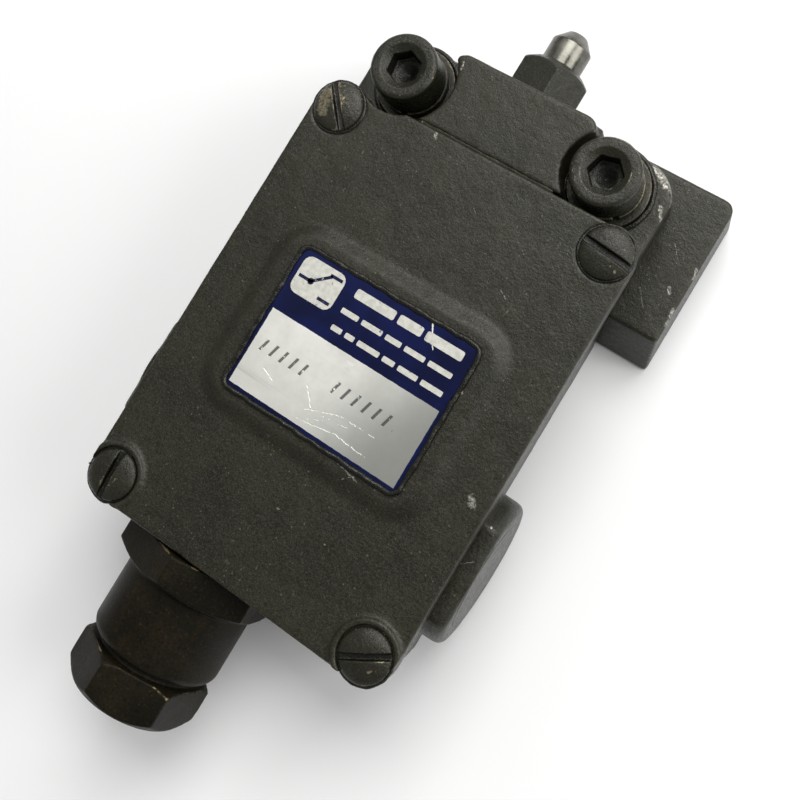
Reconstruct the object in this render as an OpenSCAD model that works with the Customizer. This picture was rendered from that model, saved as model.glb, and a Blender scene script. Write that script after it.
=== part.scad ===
// Metal-cased limit switch with a bevel-tipped plunger, one opener and one closer contact.
// Millimetres. The origin is on the rear face, midway between the four cover screws.
// +X is the switch's right, +Y points to the plunger and +Z out through the cover.

/* [Case] */
// Width of the cover
cover_w = 70; // [69:0.5:73]
// Length of the cover
cover_len = 92; // [91:0.5:94]
// Thickness of the cover
cover_t = 4; // [3.5:0.5:5]
// Depth of the housing, from the rear face to the gasket
case_d = 31; // [31:0.5:33]
// Thickness of the cover gasket
gasket_t = 1; // [0.8:0.1:1.5]
// Half the distance between cover screws, across
cover_screw_x = 29.5; // [29:0.25:30]
// Half the distance between cover screws, along
cover_screw_y = 41; // [40.5:0.25:41.5]
// How far the raised panel stands above the cover
panel_rise = 1.3; // [0.8:0.1:2]
// Length of the head, measured from the origin to its end face
head_y = 62; // [61.5:0.5:63]

/* [Nameplate] */
// Width of the nameplate
plate_w = 39.4; // [36:0.2:42]
// Height of the nameplate
plate_len = 29.9; // [27:0.1:32]
// Thickness of the nameplate
plate_t = 0.4; // [0.3:0.1:0.8]

/* [Fixing] */
// Half the distance between the two M8 fixing screws
fix_x = 22; // [21.5:0.25:22.5]
// Place of the fixing screws along the switch
fix_y = 53.6; // [53:0.2:54]
// Height of the ear face under the washers
ear_z = 26; // [25.5:0.5:27]
// Thickness of the mounting bar
bar_t = 13; // [12:0.5:13.5]
// Place of the mounting bar's right end
bar_right = 43.2; // [40:0.2:50]

/* [Cable entries] */
// Height of the three entries above the rear face
entry_z = 19.5; // [19:0.5:20]
// Radius of the entry threads
entry_r = 10.2; // [9.8:0.1:10.4]
// Place of the bottom entry across the switch
gland_x = -10.2; // [-12:0.2:0]
// Place of the side entries along the switch
boss_y = -21; // [-22:0.5:-20]
// Radius of the side bosses
boss_r = 15; // [14:0.5:15]
// Radius of the gland barrel
barrel_r = 13.4; // [13:0.1:14]
// Radius of the cable that the gland seal takes
cable_r = 5.5; // [4:0.5:6]

/* [Plunger] */
// Height of the plunger axis above the rear face
plunger_z = 21.5; // [21.3:0.1:21.7]
// Radius of the plunger
plunger_r = 4.3; // [4:0.1:4.4]
// Place of the plunger tip at rest
tip_y = 78.8; // [77:0.2:82]
// Full travel of the plunger
travel = 5.5; // [4:0.25:5.5]
// Travel of the contact bridge from the opener tips to the closer tips
bridge_travel = 3; // [2.5:0.25:3]

/* [Hidden] */
$fn = 64;
EPS = 0.01;
CUT = 1;
ARC_STEPS = 7;

// Colours
PAINT = [0.27, 0.27, 0.23];
DARK_BRASS = [0.30, 0.27, 0.20];
BRIGHT_STEEL = [0.80, 0.80, 0.78];
ZINC = [0.62, 0.60, 0.50];
RUBBER = [0.10, 0.10, 0.10];
PHENOLIC = [0.22, 0.13, 0.09];
BRASS = [0.72, 0.60, 0.32];
LABEL = [0.12, 0.16, 0.42];

// Case
cover_z = case_d + gasket_t;
face_z = cover_z + cover_t;
case_x = cover_w / 2 - 1;
rear_x = case_x - 2.5;
case_y = -cover_len / 2;
rim_y = cover_len / 2;
floor_t = 4;
cavity_x = 28.5;
cavity_low = -41.5;
cavity_high = 25;
bay_x = 20;
bay_high = 36;
bay_z = 16;
post_r = 6;
cover_screw_r = 2.5;
cover_head_r = 5;
cover_corner_r = 5.5;

// Head and ears
head_x = 15;
head_right = 16.4;
head_z = face_z - 1;
pocket_r = 10;
right_pocket_less = 1.6;
ear_corner_r = 8;
step_low = 28.6;
step_lean = 5;
bar_gap = 0.4;
bar_left = -34;
bar_top = head_y + 3.5;
bar_corner = 2.5;
fix_r = 4;
fix_core_r = 3.4;
fix_core_z = 5;
fix_end_z = 5.3;
washer_t = 1.6;
spring_washer_t = 2;
cap_r = 6.5;
cap_h = 8;
socket_af = 6;
cap_z = ear_z + washer_t + spring_washer_t;

// Entries
boss_end = 36.6;
seal_t = 0.4;
plug_flange_r = 10.95;
plug_flange_t = 1.4;
plug_in = 30;
boss_face = boss_end + seal_t + plug_flange_t;
ring_t = 0.6;
flange_af = 30;
flange_end = case_y - 8;
barrel_end = case_y - 23;
nut_start = case_y - 24.5;
nut_end = case_y - 33.5;
nut_af = 24;
nut_thread_r = 10.7;
gland_in = case_y + 7.5;
gland_bore_r = 8;
seal_seat = case_y - 10;
seal_end = case_y - 15;
thrust_end = case_y - 16;

// Plunger and its bush
guide_r = 7;
guide_in = head_y - 12;
hex_top = head_y + 7.2;
guide_top = head_y + 9;
guide_af = 14;
guide_turn = 15;
run_gap = 0.06;
chamber_r = 6.6;
stem_r = 3;
stem_top = 44.2;
stem_low = 28;
chamber_low = stem_top - travel - 0.7;
nose_r = 2;
nose_low = 22;
clip_low = guide_in - 1.9;
clip_t = 1.8;
clip_groove_r = 3.8;

// Contact insert
base_x = 20.5;
base_low = -9.5;
base_high = 17.5;
base_z = 8;
deck_z = 13;
channel_x = 4.8;
channel_wall = 8;
channel_z = 16.9;
lid_z = 26;
lid_t = 1.4;
carrier_x = 4.5;
carrier_low = 0;
bridge_y = 5.6;
bridge_t = 0.8;
bridge_x = 14;
tip_x = 11.5;
tip_r = 1.5;
tip_t = 0.7;
window_high = 12.4;
pad_z = 18;
strip_t = 1.2;
strip_x0 = 8.8;
strip_x1 = 14.5;
pad_x = 20.3;
tip_gap = 0.05;
nc_y = bridge_y + bridge_t + 2 * tip_t + tip_gap;
no_y = bridge_y - bridge_travel - 2 * tip_t - tip_gap - strip_t;
terminal_x = 16.5;
nc_terminal_y = 13.1;
no_terminal_y = -4.9;
clamp_w = 7.4;
insert_screw_x = 16;
insert_screw_y = 4.4;
earth_at = [14, -34];
earth_half = 4.5;
earth_z = 9;

SIDES = [-1, 1];
LID_SCREWS = [
    // x, y and the angle of the slot
    [-6.4, 13, 20],
    [6.4, -4, 75]
];
COVER_SCREWS = [
    // x, y and the angle of the slot
    [-cover_screw_x, cover_screw_y, -49],
    [cover_screw_x, cover_screw_y, -6],
    [-cover_screw_x, -cover_screw_y, -87],
    [cover_screw_x, -cover_screw_y, 32]
];

// Outline of a rectangle whose corners are rounded in ARC_STEPS chords
function round_rect(x0, y0, x1, y1, r) = [
    for (corner = [[x1 - r, y1 - r, 0], [x0 + r, y1 - r, 90], [x0 + r, y0 + r, 180], [x1 - r, y0 + r, 270]])
    for (k = [0:ARC_STEPS])
    let (a = corner[2] + 90 * k / ARC_STEPS)
    [corner[0] + r * cos(a), corner[1] + r * sin(a)]
];

// Slab with rounded upright corners
module slab(x0, y0, x1, y1, z0, z1, r) {
    translate([0, 0, z0]) linear_extrude(z1 - z0) polygon(round_rect(x0, y0, x1, y1, r));
}

// Straight block between two corners
module block(low, high) {
    translate(low) cube(high - low);
}

// Round rods along each axis
module rod_z(x, y, z0, z1, r) {
    translate([x, y, z0]) cylinder(r = r, h = z1 - z0);
}
module rod_y(x, z, y0, y1, r) {
    translate([x, y0, z]) rotate([-90, 0, 0]) cylinder(r = r, h = y1 - y0);
}
module rod_x(y, z, x0, x1, r) {
    translate([x0, y, z]) rotate([0, 90, 0]) cylinder(r = r, h = x1 - x0);
}

// Solid of revolution about an axis along Y; the profile's second coordinate is Y
module turned_y(x, z, profile) {
    translate([x, 0, z]) rotate([-90, 0, 0]) rotate_extrude() polygon(profile);
}

// Hexagon bar along Y, across flats af, with one corner turned from +X towards +Z
module hex_y(x, z, y0, y1, af, turn) {
    translate([x, y0, z]) rotate([-90, 0, 0]) rotate(-turn)
        cylinder(r = af / sqrt(3), h = y1 - y0, $fn = 6);
}

// Slotted screw with a domed head on the plane z, pointing down
module slotted_screw(x, y, z, head_r, head_h, shank_r, shank_low, slot_w, turn) {
    difference() {
        union() {
            translate([x, y, z]) rotate_extrude() polygon([
                [0, 0], [head_r, 0], [head_r, head_h * 0.5], [head_r * 0.86, head_h * 0.86], [0, head_h]
            ]);
            rod_z(x, y, shank_low, z + EPS, shank_r);
        }
        translate([x, y, z + head_h / 2 + CUT]) rotate(turn)
            cube([3 * head_r, slot_w, 2 * CUT], center = true);
    }
}

// Helical spring along Y, wound from y0 to y1 round the axis at height z
SPRING_SIDES = 6;
SPRING_STEPS = 14;
function helix_point(mean_r, y0, y1, z, turns, t) =
    [mean_r * cos(360 * turns * t), y0 + (y1 - y0) * t, z + mean_r * sin(360 * turns * t)];
module helix_spring(mean_r, wire_r, y0, y1, z, turns) {
    rings = round(turns * SPRING_STEPS);
    points = [
        for (i = [0:rings])
        let (t = i / rings, a = 360 * turns * t)
        let (p = helix_point(mean_r, y0 + wire_r, y1 - wire_r, z, turns, t))
        for (j = [0:SPRING_SIDES - 1])
        let (b = 360 * j / SPRING_SIDES, out = wire_r * cos(b))
        [p[0] + out * cos(a), p[1] + wire_r * sin(b), p[2] + out * sin(a)]
    ];
    last = rings * SPRING_SIDES;
    faces = concat(
        [[for (j = [0:SPRING_SIDES - 1]) j]],
        [[for (j = [0:SPRING_SIDES - 1]) last + SPRING_SIDES - 1 - j]],
        [for (i = [0:rings - 1], j = [0:SPRING_SIDES - 1])
            let (k = (j + 1) % SPRING_SIDES, a = i * SPRING_SIDES, b = a + SPRING_SIDES)
            [a + k, a + j, b + j, b + k]]
    );
    polyhedron(points, faces, convexity = 10);
}

// Room inside the housing: wiring space, bay under the head, and the two bottom screw posts left standing
module cavity(z0, z1) {
    difference() {
        union() {
            slab(-cavity_x, cavity_low, cavity_x, cavity_high, z0, z1, 3);
            slab(-bay_x, cavity_high - 5, bay_x, bay_high, max(z0, bay_z), z1, 3);
        }
        for (s = SIDES) rod_z(s * cover_screw_x, -cover_screw_y, z0 - CUT, z1 + CUT, post_r);
    }
}

// Pockets round the two fixing screws, above height z; the right one is tighter
module ear_pockets(z, r) {
    for (s = SIDES) rod_z(s * fix_x, fix_y, z, face_z + CUT, s > 0 ? r - right_pocket_less : r);
}

// Case body with drafted side walls, up to the gasket face
module drafted_body() {
    intersection() {
        union() {
            slab(-case_x, case_y, case_x, head_y - ear_corner_r, 0, case_d, 6);
            slab(-case_x, 0, case_x, head_y, 0, case_d, ear_corner_r);
        }
        translate([0, head_y + CUT, 0]) rotate([90, 0, 0]) linear_extrude(head_y - case_y + 2 * CUT) polygon([
            [-rear_x, 0], [rear_x, 0], [case_x, case_d], [-case_x, case_d]
        ]);
    }
}

module housing() {
    color(PAINT) difference() {
        union() {
            difference() {
                union() {
                    drafted_body();
                    slab(-head_x, rim_y - 8, head_right, head_y, case_d - CUT, head_z, 3);
                    // Side bosses, cut level with the gasket face
                    intersection() {
                        rod_x(boss_y, entry_z, -boss_face, boss_face, boss_r);
                        block([-boss_face - CUT, boss_y - boss_r, 0],
                            [boss_face + CUT, boss_y + boss_r, case_d]);
                    }
                }
                cavity(floor_t, case_d + CUT);
            }
            // Studs on the floor for the contact insert and the earth screw
            for (s = SIDES) rod_z(s * insert_screw_x, insert_screw_y, floor_t - CUT, base_z, 3.5);
            rod_z(earth_at[0], earth_at[1], floor_t - CUT, earth_z, 4.5);
        }
        // Cover seat between the head block and the rest of the rim
        block([-cover_w, rim_y - 8 - CUT, case_d], [cover_w, rim_y + bar_gap, face_z + CUT]);
        // Ears: open above ear_z beside the head
        for (s = SIDES) block([s > 0 ? head_right : -cover_w, rim_y + bar_gap, ear_z],
            [s > 0 ? cover_w : -head_x, head_y + CUT, face_z + CUT]);
        ear_pockets(ear_z, pocket_r);
        // Step for the mounting bar
        translate([-cover_w, 0, 0]) rotate([90, 0, 90]) linear_extrude(2 * cover_w) polygon([
            [step_low, -EPS], [step_low + step_lean, bar_t], [head_y + CUT, bar_t], [head_y + CUT, -EPS]
        ]);
        for (s = SIDES) rod_z(s * fix_x, fix_y, bar_t - CUT, ear_z + CUT, fix_r + 0.5);
        for (screw = COVER_SCREWS) rod_z(screw[0], screw[1], case_d - 14, case_d + CUT, cover_screw_r);
        // Cable entries
        rod_y(gland_x, entry_z, case_y - CUT, cavity_low + CUT, entry_r);
        for (s = SIDES)
            rod_x(boss_y, entry_z, s > 0 ? cavity_x - CUT : -cover_w,
                s > 0 ? cover_w : CUT - cavity_x, entry_r);
        // Sinks that take the plugs' flanges flush with the boss faces
        for (s = SIDES)
            rod_x(boss_y, entry_z, s > 0 ? boss_end : -boss_face - CUT,
                s > 0 ? boss_face + CUT : -boss_end, plug_flange_r + 0.15);
        // Plunger bush, spring chamber and stem hole
        rod_y(0, plunger_z, guide_in, head_y + CUT, guide_r);
        rod_y(0, plunger_z, chamber_low, guide_in + EPS, chamber_r);
        rod_y(0, plunger_z, bay_high - CUT, chamber_low + CUT, stem_r + 0.3);
        // Tapped holes in the studs
        for (s = SIDES) rod_z(s * insert_screw_x, insert_screw_y, 2, base_z + CUT, 1.55);
        rod_z(earth_at[0], earth_at[1], 2, earth_z + CUT, 2.05);
    }
}

module cover() {
    color(PAINT) difference() {
        union() {
            slab(-cover_w / 2, case_y, cover_w / 2, rim_y, cover_z, face_z, cover_corner_r);
            // Raised panel with sloping edges
            hull() {
                slab(-25.8, -20, 25.8, 20, face_z - 0.2, face_z, 8);
                slab(-23.2, -17.4, 23.2, 17.4, face_z, face_z + panel_rise, 5.5);
            }
            // Collars round the two bottom screws
            intersection() {
                for (s = SIDES) rod_z(s * cover_screw_x, -cover_screw_y, cover_z + CUT, face_z + 0.8, 6.4);
                slab(-cover_w / 2, case_y, cover_w / 2, 0, cover_z, face_z + CUT, cover_corner_r);
            }
        }
        for (screw = COVER_SCREWS) {
            rod_z(screw[0], screw[1], cover_z - CUT, face_z + 2 * CUT, cover_screw_r + 0.3);
            rod_z(screw[0], screw[1], face_z - 1, face_z + 2 * CUT, cover_head_r + 0.3);
        }
        ear_pockets(cover_z - CUT, pocket_r - 0.8);
    }
}

module cover_gasket() {
    color(RUBBER) difference() {
        slab(-case_x + 0.6, case_y + 0.6, case_x - 0.6, rim_y - 0.2, case_d, cover_z, cover_corner_r);
        cavity(case_d - CUT, cover_z + CUT);
        for (screw = COVER_SCREWS)
            rod_z(screw[0], screw[1], case_d - CUT, cover_z + CUT, cover_screw_r + 0.3);
        ear_pockets(case_d - CUT, pocket_r);
    }
}

module cover_screws() {
    color(ZINC) for (screw = COVER_SCREWS)
        slotted_screw(screw[0], screw[1], face_z - 1, cover_head_r, 2.7,
            cover_screw_r - 0.04, case_d - 12, 1.2, screw[2]);
}

module nameplate() {
    color(LABEL) slab(-plate_w / 2, -plate_len / 2, plate_w / 2, plate_len / 2,
        face_z + panel_rise, face_z + panel_rise + plate_t, 1.2);
}

module mounting_bar() {
    color(PAINT) difference() {
        intersection() {
            slab(bar_left, step_low - CUT, bar_right, bar_top, 0, bar_t, bar_corner);
            // Lower end leans back towards the rear face
            translate([bar_left - CUT, 0, 0]) rotate([90, 0, 90])
                linear_extrude(bar_right - bar_left + 2 * CUT) polygon([
                    [step_low + bar_gap, 0], [step_low + step_lean + bar_gap, bar_t],
                    [bar_top + CUT, bar_t], [bar_top + CUT, 0]
                ]);
        }
        // Tapped holes: the core shows below the end of each screw
        for (s = SIDES) {
            rod_z(s * fix_x, fix_y, -CUT, bar_t, fix_core_r);
            rod_z(s * fix_x, fix_y, fix_core_z, bar_t + CUT, fix_r);
        }
    }
}

module fixing_screws() {
    color(ZINC) for (s = SIDES) difference() {
        union() {
            translate([s * fix_x, fix_y, cap_z]) rotate_extrude() polygon([
                [0, 0], [cap_r, 0], [cap_r, cap_h - 0.5], [cap_r - 0.5, cap_h], [0, cap_h]
            ]);
            rod_z(s * fix_x, fix_y, fix_end_z, cap_z + EPS, fix_r - 0.04);
        }
        // Hexagon socket, 6 across flats, with a short lead-in
        translate([s * fix_x, fix_y, cap_z + cap_h - 4]) rotate(s * 12)
            cylinder(r = socket_af / sqrt(3), h = 5, $fn = 6);
        translate([s * fix_x, fix_y, cap_z + cap_h - 0.4])
            cylinder(r1 = socket_af / 2 + 0.2, r2 = socket_af / 2 + 1.2, h = 1);
    }
}

module spring_washers() {
    color(ZINC) for (s = SIDES) difference() {
        rod_z(s * fix_x, fix_y, ear_z + washer_t, cap_z, 6.9);
        rod_z(s * fix_x, fix_y, ear_z + washer_t - CUT, cap_z + CUT, fix_r + 0.1);
        // Split
        translate([s * fix_x, fix_y, ear_z + washer_t + spring_washer_t / 2]) rotate(-60)
            translate([fix_r + 1.5, 0, 0]) cube([6, 1, 3 * spring_washer_t], center = true);
    }
}

module flat_washers() {
    color(ZINC) for (s = SIDES) difference() {
        rod_z(s * fix_x, fix_y, ear_z, ear_z + washer_t, 8);
        rod_z(s * fix_x, fix_y, ear_z - CUT, ear_z + washer_t + CUT, fix_r + 0.2);
    }
}

module gland_body() {
    color(DARK_BRASS) difference() {
        union() {
            // Hexagon flange, its outer end turned to a bevel
            intersection() {
                hex_y(gland_x, entry_z, flange_end, case_y - ring_t, flange_af, 30);
                turned_y(gland_x, entry_z, [
                    [0, flange_end], [barrel_r + 0.4, flange_end], [flange_af * 0.6, flange_end + 2.3],
                    [flange_af * 0.6, case_y], [0, case_y]
                ]);
            }
            // Barrel with a rounded outer edge
            turned_y(gland_x, entry_z, [
                [0, flange_end + CUT], [barrel_r, flange_end + CUT], [barrel_r, barrel_end + 1.6],
                [barrel_r - 0.5, barrel_end + 0.5], [barrel_r - 1.6, barrel_end], [0, barrel_end]
            ]);
            rod_y(gland_x, entry_z, case_y - CUT, gland_in, entry_r - 0.04);
        }
        rod_y(gland_x, entry_z, barrel_end - CUT, gland_in + CUT, gland_bore_r);
        rod_y(gland_x, entry_z, barrel_end - CUT, seal_seat, nut_thread_r + 0.1);
    }
}

module gland_sealing_ring() {
    color(RUBBER) difference() {
        rod_y(gland_x, entry_z, case_y - ring_t, case_y, flange_af / 2 - 1);
        rod_y(gland_x, entry_z, case_y - ring_t - CUT, case_y + CUT, entry_r + 0.1);
    }
}

module gland_seal() {
    color(RUBBER) difference() {
        rod_y(gland_x, entry_z, seal_end, seal_seat, nut_thread_r);
        rod_y(gland_x, entry_z, seal_end - CUT, seal_seat + CUT, cable_r);
    }
}

module gland_thrust_ring() {
    color(ZINC) difference() {
        rod_y(gland_x, entry_z, thrust_end, seal_end, nut_thread_r);
        rod_y(gland_x, entry_z, thrust_end - CUT, seal_end + CUT, cable_r + 0.8);
    }
}

module gland_nut() {
    color(DARK_BRASS) difference() {
        union() {
            // Hexagon head, bevelled at both ends
            intersection() {
                hex_y(gland_x, entry_z, nut_end, nut_start, nut_af, 40);
                turned_y(gland_x, entry_z, [
                    [0, nut_end], [nut_af / 2 - 0.6, nut_end], [nut_af * 0.57, nut_end + 2],
                    [nut_af * 0.59, nut_start - 1], [nut_af / 2 + 0.4, nut_start], [0, nut_start]
                ]);
            }
            rod_y(gland_x, entry_z, nut_start - CUT, thrust_end, nut_thread_r);
        }
        rod_y(gland_x, entry_z, nut_end - CUT, thrust_end + CUT, cable_r + 1);
        // Flared mouth
        turned_y(gland_x, entry_z, [
            [0, nut_end - EPS], [cable_r + 2.5, nut_end - EPS],
            [cable_r + 1, nut_end + 2.5], [0, nut_end + 2.5]
        ]);
    }
}

// Plug for a side entry; s is the side
module blanking_plug(s) {
    mirror([s > 0 ? 0 : 1, 0, 0]) color(PAINT) difference() {
        union() {
            translate([0, boss_y, entry_z]) rotate([0, 90, 0]) rotate_extrude() polygon([
                [0, boss_end + seal_t], [plug_flange_r, boss_end + seal_t],
                [plug_flange_r, boss_face - 0.2],
                [plug_flange_r - 0.2, boss_face],
                [0, boss_face]
            ]);
            rod_x(boss_y, entry_z, plug_in, boss_end + seal_t + EPS, entry_r - 0.04);
        }
        rod_x(boss_y, entry_z, plug_in - CUT, boss_end - CUT, entry_r - 2.4);
    }
}

module blanking_plug_left() {
    blanking_plug(-1);
}

module blanking_plug_right() {
    blanking_plug(1);
}

module plug_seals() {
    color(RUBBER) for (s = SIDES) mirror([s > 0 ? 0 : 1, 0, 0]) difference() {
        rod_x(boss_y, entry_z, boss_end, boss_end + seal_t, plug_flange_r - 0.05);
        rod_x(boss_y, entry_z, boss_end - CUT, boss_end + seal_t + CUT, entry_r + 0.1);
    }
}

module plunger_guide() {
    color(DARK_BRASS) difference() {
        union() {
            intersection() {
                hex_y(0, plunger_z, head_y, guide_top, guide_af, guide_turn);
                turned_y(0, plunger_z, [
                    [0, head_y], [guide_af, head_y], [guide_af * 0.578, hex_top - 0.4],
                    [guide_af * 0.52, hex_top + 0.5], [guide_af * 0.4, guide_top], [0, guide_top]
                ]);
            }
            rod_y(0, plunger_z, guide_in, head_y + CUT, guide_r - 0.04);
        }
        rod_y(0, plunger_z, guide_in - CUT, guide_top + CUT, plunger_r + run_gap);
        rod_y(0, plunger_z, hex_top - 1.6, hex_top + 0.4, plunger_r + 1);
    }
}

module plunger_wiper() {
    color(RUBBER) difference() {
        rod_y(0, plunger_z, hex_top - 1.55, hex_top + 0.35, plunger_r + 0.98);
        rod_y(0, plunger_z, hex_top - 3, hex_top + 2, plunger_r + 0.08);
    }
}

module plunger() {
    color(BRIGHT_STEEL) turned_y(0, plunger_z, [
        [0, nose_low], [nose_r, nose_low], [nose_r, stem_low], [stem_r, stem_low],
        [stem_r, stem_top], [plunger_r, stem_top], [plunger_r, clip_low], [clip_groove_r, clip_low],
        [clip_groove_r, clip_low + clip_t], [plunger_r, clip_low + clip_t],
        [plunger_r, tip_y - 2.5], [plunger_r - 0.35, tip_y - 1.9], [plunger_r - 1.9, tip_y - 0.35],
        [plunger_r - 2.5, tip_y], [0, tip_y]
    ]);
}

module plunger_stop_ring() {
    color(ZINC) difference() {
        rod_y(0, plunger_z, clip_low + 0.05, clip_low + clip_t - 0.05, 6.1);
        rod_y(0, plunger_z, clip_low - CUT, clip_low + clip_t + CUT, clip_groove_r + 0.03);
    }
}

module return_spring() {
    color(ZINC) helix_spring(5.3, 0.45, chamber_low, clip_low, plunger_z, 5);
}

module contact_carrier() {
    color(PHENOLIC) difference() {
        block([-carrier_x, carrier_low, 17.2], [carrier_x, stem_low - EPS, 25.8]);
        block([-carrier_x - CUT, bridge_y - 0.1, 18.6], [carrier_x + CUT, window_high, 24.4]);
        rod_y(0, plunger_z, nose_low - 0.2, stem_low + CUT, nose_r + 0.02);
    }
}

module contact_bridge() {
    color(BRASS) union() {
        block([-bridge_x, bridge_y, 19.2], [bridge_x, bridge_y + bridge_t, 23.8]);
        for (s = SIDES) rod_y(s * tip_x, plunger_z, bridge_y - tip_t, bridge_y + bridge_t + tip_t, tip_r);
    }
}

module contact_spring() {
    color(ZINC) helix_spring(1.7, 0.3, bridge_y + bridge_t + 0.05, window_high - 0.05, plunger_z, 5);
}

module contact_base() {
    color(PHENOLIC) difference() {
        union() {
            slab(-base_x, base_low, base_x, base_high, base_z, deck_z, 1.5);
            block([-channel_wall, base_low, deck_z - CUT], [channel_wall, base_high, lid_z]);
            // Pillars under the terminals
            for (s = SIDES, span = [[nc_y - 0.4, base_high], [base_low, no_y + strip_t + 0.4]])
                block([s > 0 ? channel_wall - CUT : -base_x, span[0], deck_z - CUT],
                    [s > 0 ? base_x : CUT - channel_wall, span[1], pad_z]);
        }
        // Channel for the carrier, closed at the lower end
        block([-channel_x, base_low + 2, channel_z], [channel_x, base_high + CUT, lid_z + CUT]);
        // Gap in both channel walls for the bridge
        block([-channel_wall - CUT, 1.9, pad_z], [channel_wall + CUT, 7.4, lid_z + CUT]);
        for (s = SIDES) {
            rod_z(s * insert_screw_x, insert_screw_y, base_z - CUT, deck_z + CUT, 1.7);
            for (y = [nc_terminal_y, no_terminal_y]) rod_z(s * terminal_x, y, deck_z + 0.5, pad_z + CUT, 1.8);
        }
        for (at = LID_SCREWS) rod_z(at[0], at[1], lid_z - 6, lid_z + CUT, 1.13);
    }
}

module contact_cover() {
    color(PHENOLIC) difference() {
        slab(-8.5, base_low, 8.5, base_high, lid_z, lid_z + lid_t, 1.5);
        for (at = LID_SCREWS) rod_z(at[0], at[1], lid_z - CUT, lid_z + 3, 1.3);
    }
}

module contact_cover_screws() {
    color(ZINC) for (at = LID_SCREWS)
        slotted_screw(at[0], at[1], lid_z + lid_t, 1.9, 1.2, 1.1, lid_z - 5, 0.5, at[2]);
}

module insert_screws() {
    color(ZINC) for (s = SIDES)
        slotted_screw(s * insert_screw_x, insert_screw_y, deck_z, 2.75, 2, 1.5, 3, 0.8, s * 35);
}

// Pair of fixed contact strips; pad is +1 or -1, the way the terminal pads run from the blades
module contact_pair(y, pad, tip_low, tip_high) {
    pad_y0 = pad > 0 ? y : base_low + 0.3;
    pad_y1 = pad > 0 ? base_high - 0.3 : y + strip_t;
    pad_y = pad > 0 ? nc_terminal_y : no_terminal_y;
    for (s = SIDES) mirror([s > 0 ? 0 : 1, 0, 0]) difference() {
        union() {
            block([strip_x0, y, pad_z], [strip_x1, y + strip_t, 24.2]);
            block([strip_x0, pad_y0, pad_z], [pad_x, pad_y1, pad_z + strip_t]);
            rod_y(tip_x, plunger_z, tip_low, tip_high, tip_r);
        }
        rod_z(terminal_x, pad_y, pad_z - CUT, pad_z + strip_t + CUT, 1.9);
    }
}

module contacts_nc() {
    color(BRASS) contact_pair(nc_y, 1, nc_y - tip_t, nc_y + EPS);
}

module contacts_no() {
    color(BRASS) contact_pair(no_y, -1, no_y + strip_t - EPS, no_y + strip_t + tip_t);
}

module terminal_clamps() {
    color(ZINC) for (s = SIDES, y = [nc_terminal_y, no_terminal_y]) difference() {
        slab(s * terminal_x - clamp_w / 2, y - clamp_w / 2, s * terminal_x + clamp_w / 2, y + clamp_w / 2,
            pad_z + strip_t, pad_z + 2 * strip_t, 0.6);
        rod_z(s * terminal_x, y, pad_z, pad_z + 4, 1.9);
    }
}

module terminal_screws() {
    color(ZINC) for (s = SIDES, y = [nc_terminal_y, no_terminal_y])
        slotted_screw(s * terminal_x, y, pad_z + 2 * strip_t, 3.2, 2.2, 1.75, deck_z + 1,
            0.9, s * 40 + 3 * y);
}

module earth_clamp() {
    color(BRASS) difference() {
        slab(earth_at[0] - earth_half, earth_at[1] - earth_half, earth_at[0] + earth_half,
            earth_at[1] + earth_half, earth_z, earth_z + 1.2, 0.8);
        rod_z(earth_at[0], earth_at[1], earth_z - CUT, earth_z + 3, 2.2);
    }
}

module earth_screw() {
    color(BRASS) slotted_screw(earth_at[0], earth_at[1], earth_z + 1.2, 3.6, 2.6, 2, 3, 1, 55);
}

housing();
cover();
cover_gasket();
cover_screws();
nameplate();
mounting_bar();
fixing_screws();
spring_washers();
flat_washers();
gland_body();
gland_sealing_ring();
gland_seal();
gland_thrust_ring();
gland_nut();
blanking_plug_left();
blanking_plug_right();
plug_seals();
plunger_guide();
plunger_wiper();
plunger();
plunger_stop_ring();
return_spring();
contact_carrier();
contact_bridge();
contact_spring();
contact_base();
contact_cover();
contact_cover_screws();
insert_screws();
contacts_nc();
contacts_no();
terminal_clamps();
terminal_screws();
earth_clamp();
earth_screw();
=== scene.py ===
"""Limit switch with a bevel-tipped plunger: cast and enamelled case, turned gland,
slotted and socket screws, printed nameplate and ground plunger.

The script dresses a packed working model. Every size is in metres, in the model's own frame:
+X is the switch's right, +Y points to the plunger and +Z out through the cover.
"""

import math

import bmesh
import bpy
import numpy as np
from bpy.props import FloatProperty, FloatVectorProperty, IntProperty, PointerProperty
from bpy.types import Operator, Panel, PropertyGroup
from mathutils import Matrix, Vector, noise


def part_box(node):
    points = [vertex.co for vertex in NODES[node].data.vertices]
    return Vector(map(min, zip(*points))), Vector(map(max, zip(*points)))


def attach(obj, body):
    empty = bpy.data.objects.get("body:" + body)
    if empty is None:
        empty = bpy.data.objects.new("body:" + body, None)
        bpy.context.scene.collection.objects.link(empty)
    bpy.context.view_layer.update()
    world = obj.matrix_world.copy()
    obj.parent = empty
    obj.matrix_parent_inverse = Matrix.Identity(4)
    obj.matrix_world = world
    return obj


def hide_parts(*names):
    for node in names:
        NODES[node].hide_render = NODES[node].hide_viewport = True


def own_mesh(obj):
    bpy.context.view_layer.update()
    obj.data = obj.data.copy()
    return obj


bl_info = {
    "name": "Limit Switch Dresser",
    "version": (1, 0, 0),
    "blender": (4, 5, 0),
    "location": "3D View > Sidebar > Limit Switch",
    "description": "Builds the finished surfaces of a metal-cased limit switch round its working model",
    "category": "Object",
}

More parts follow.
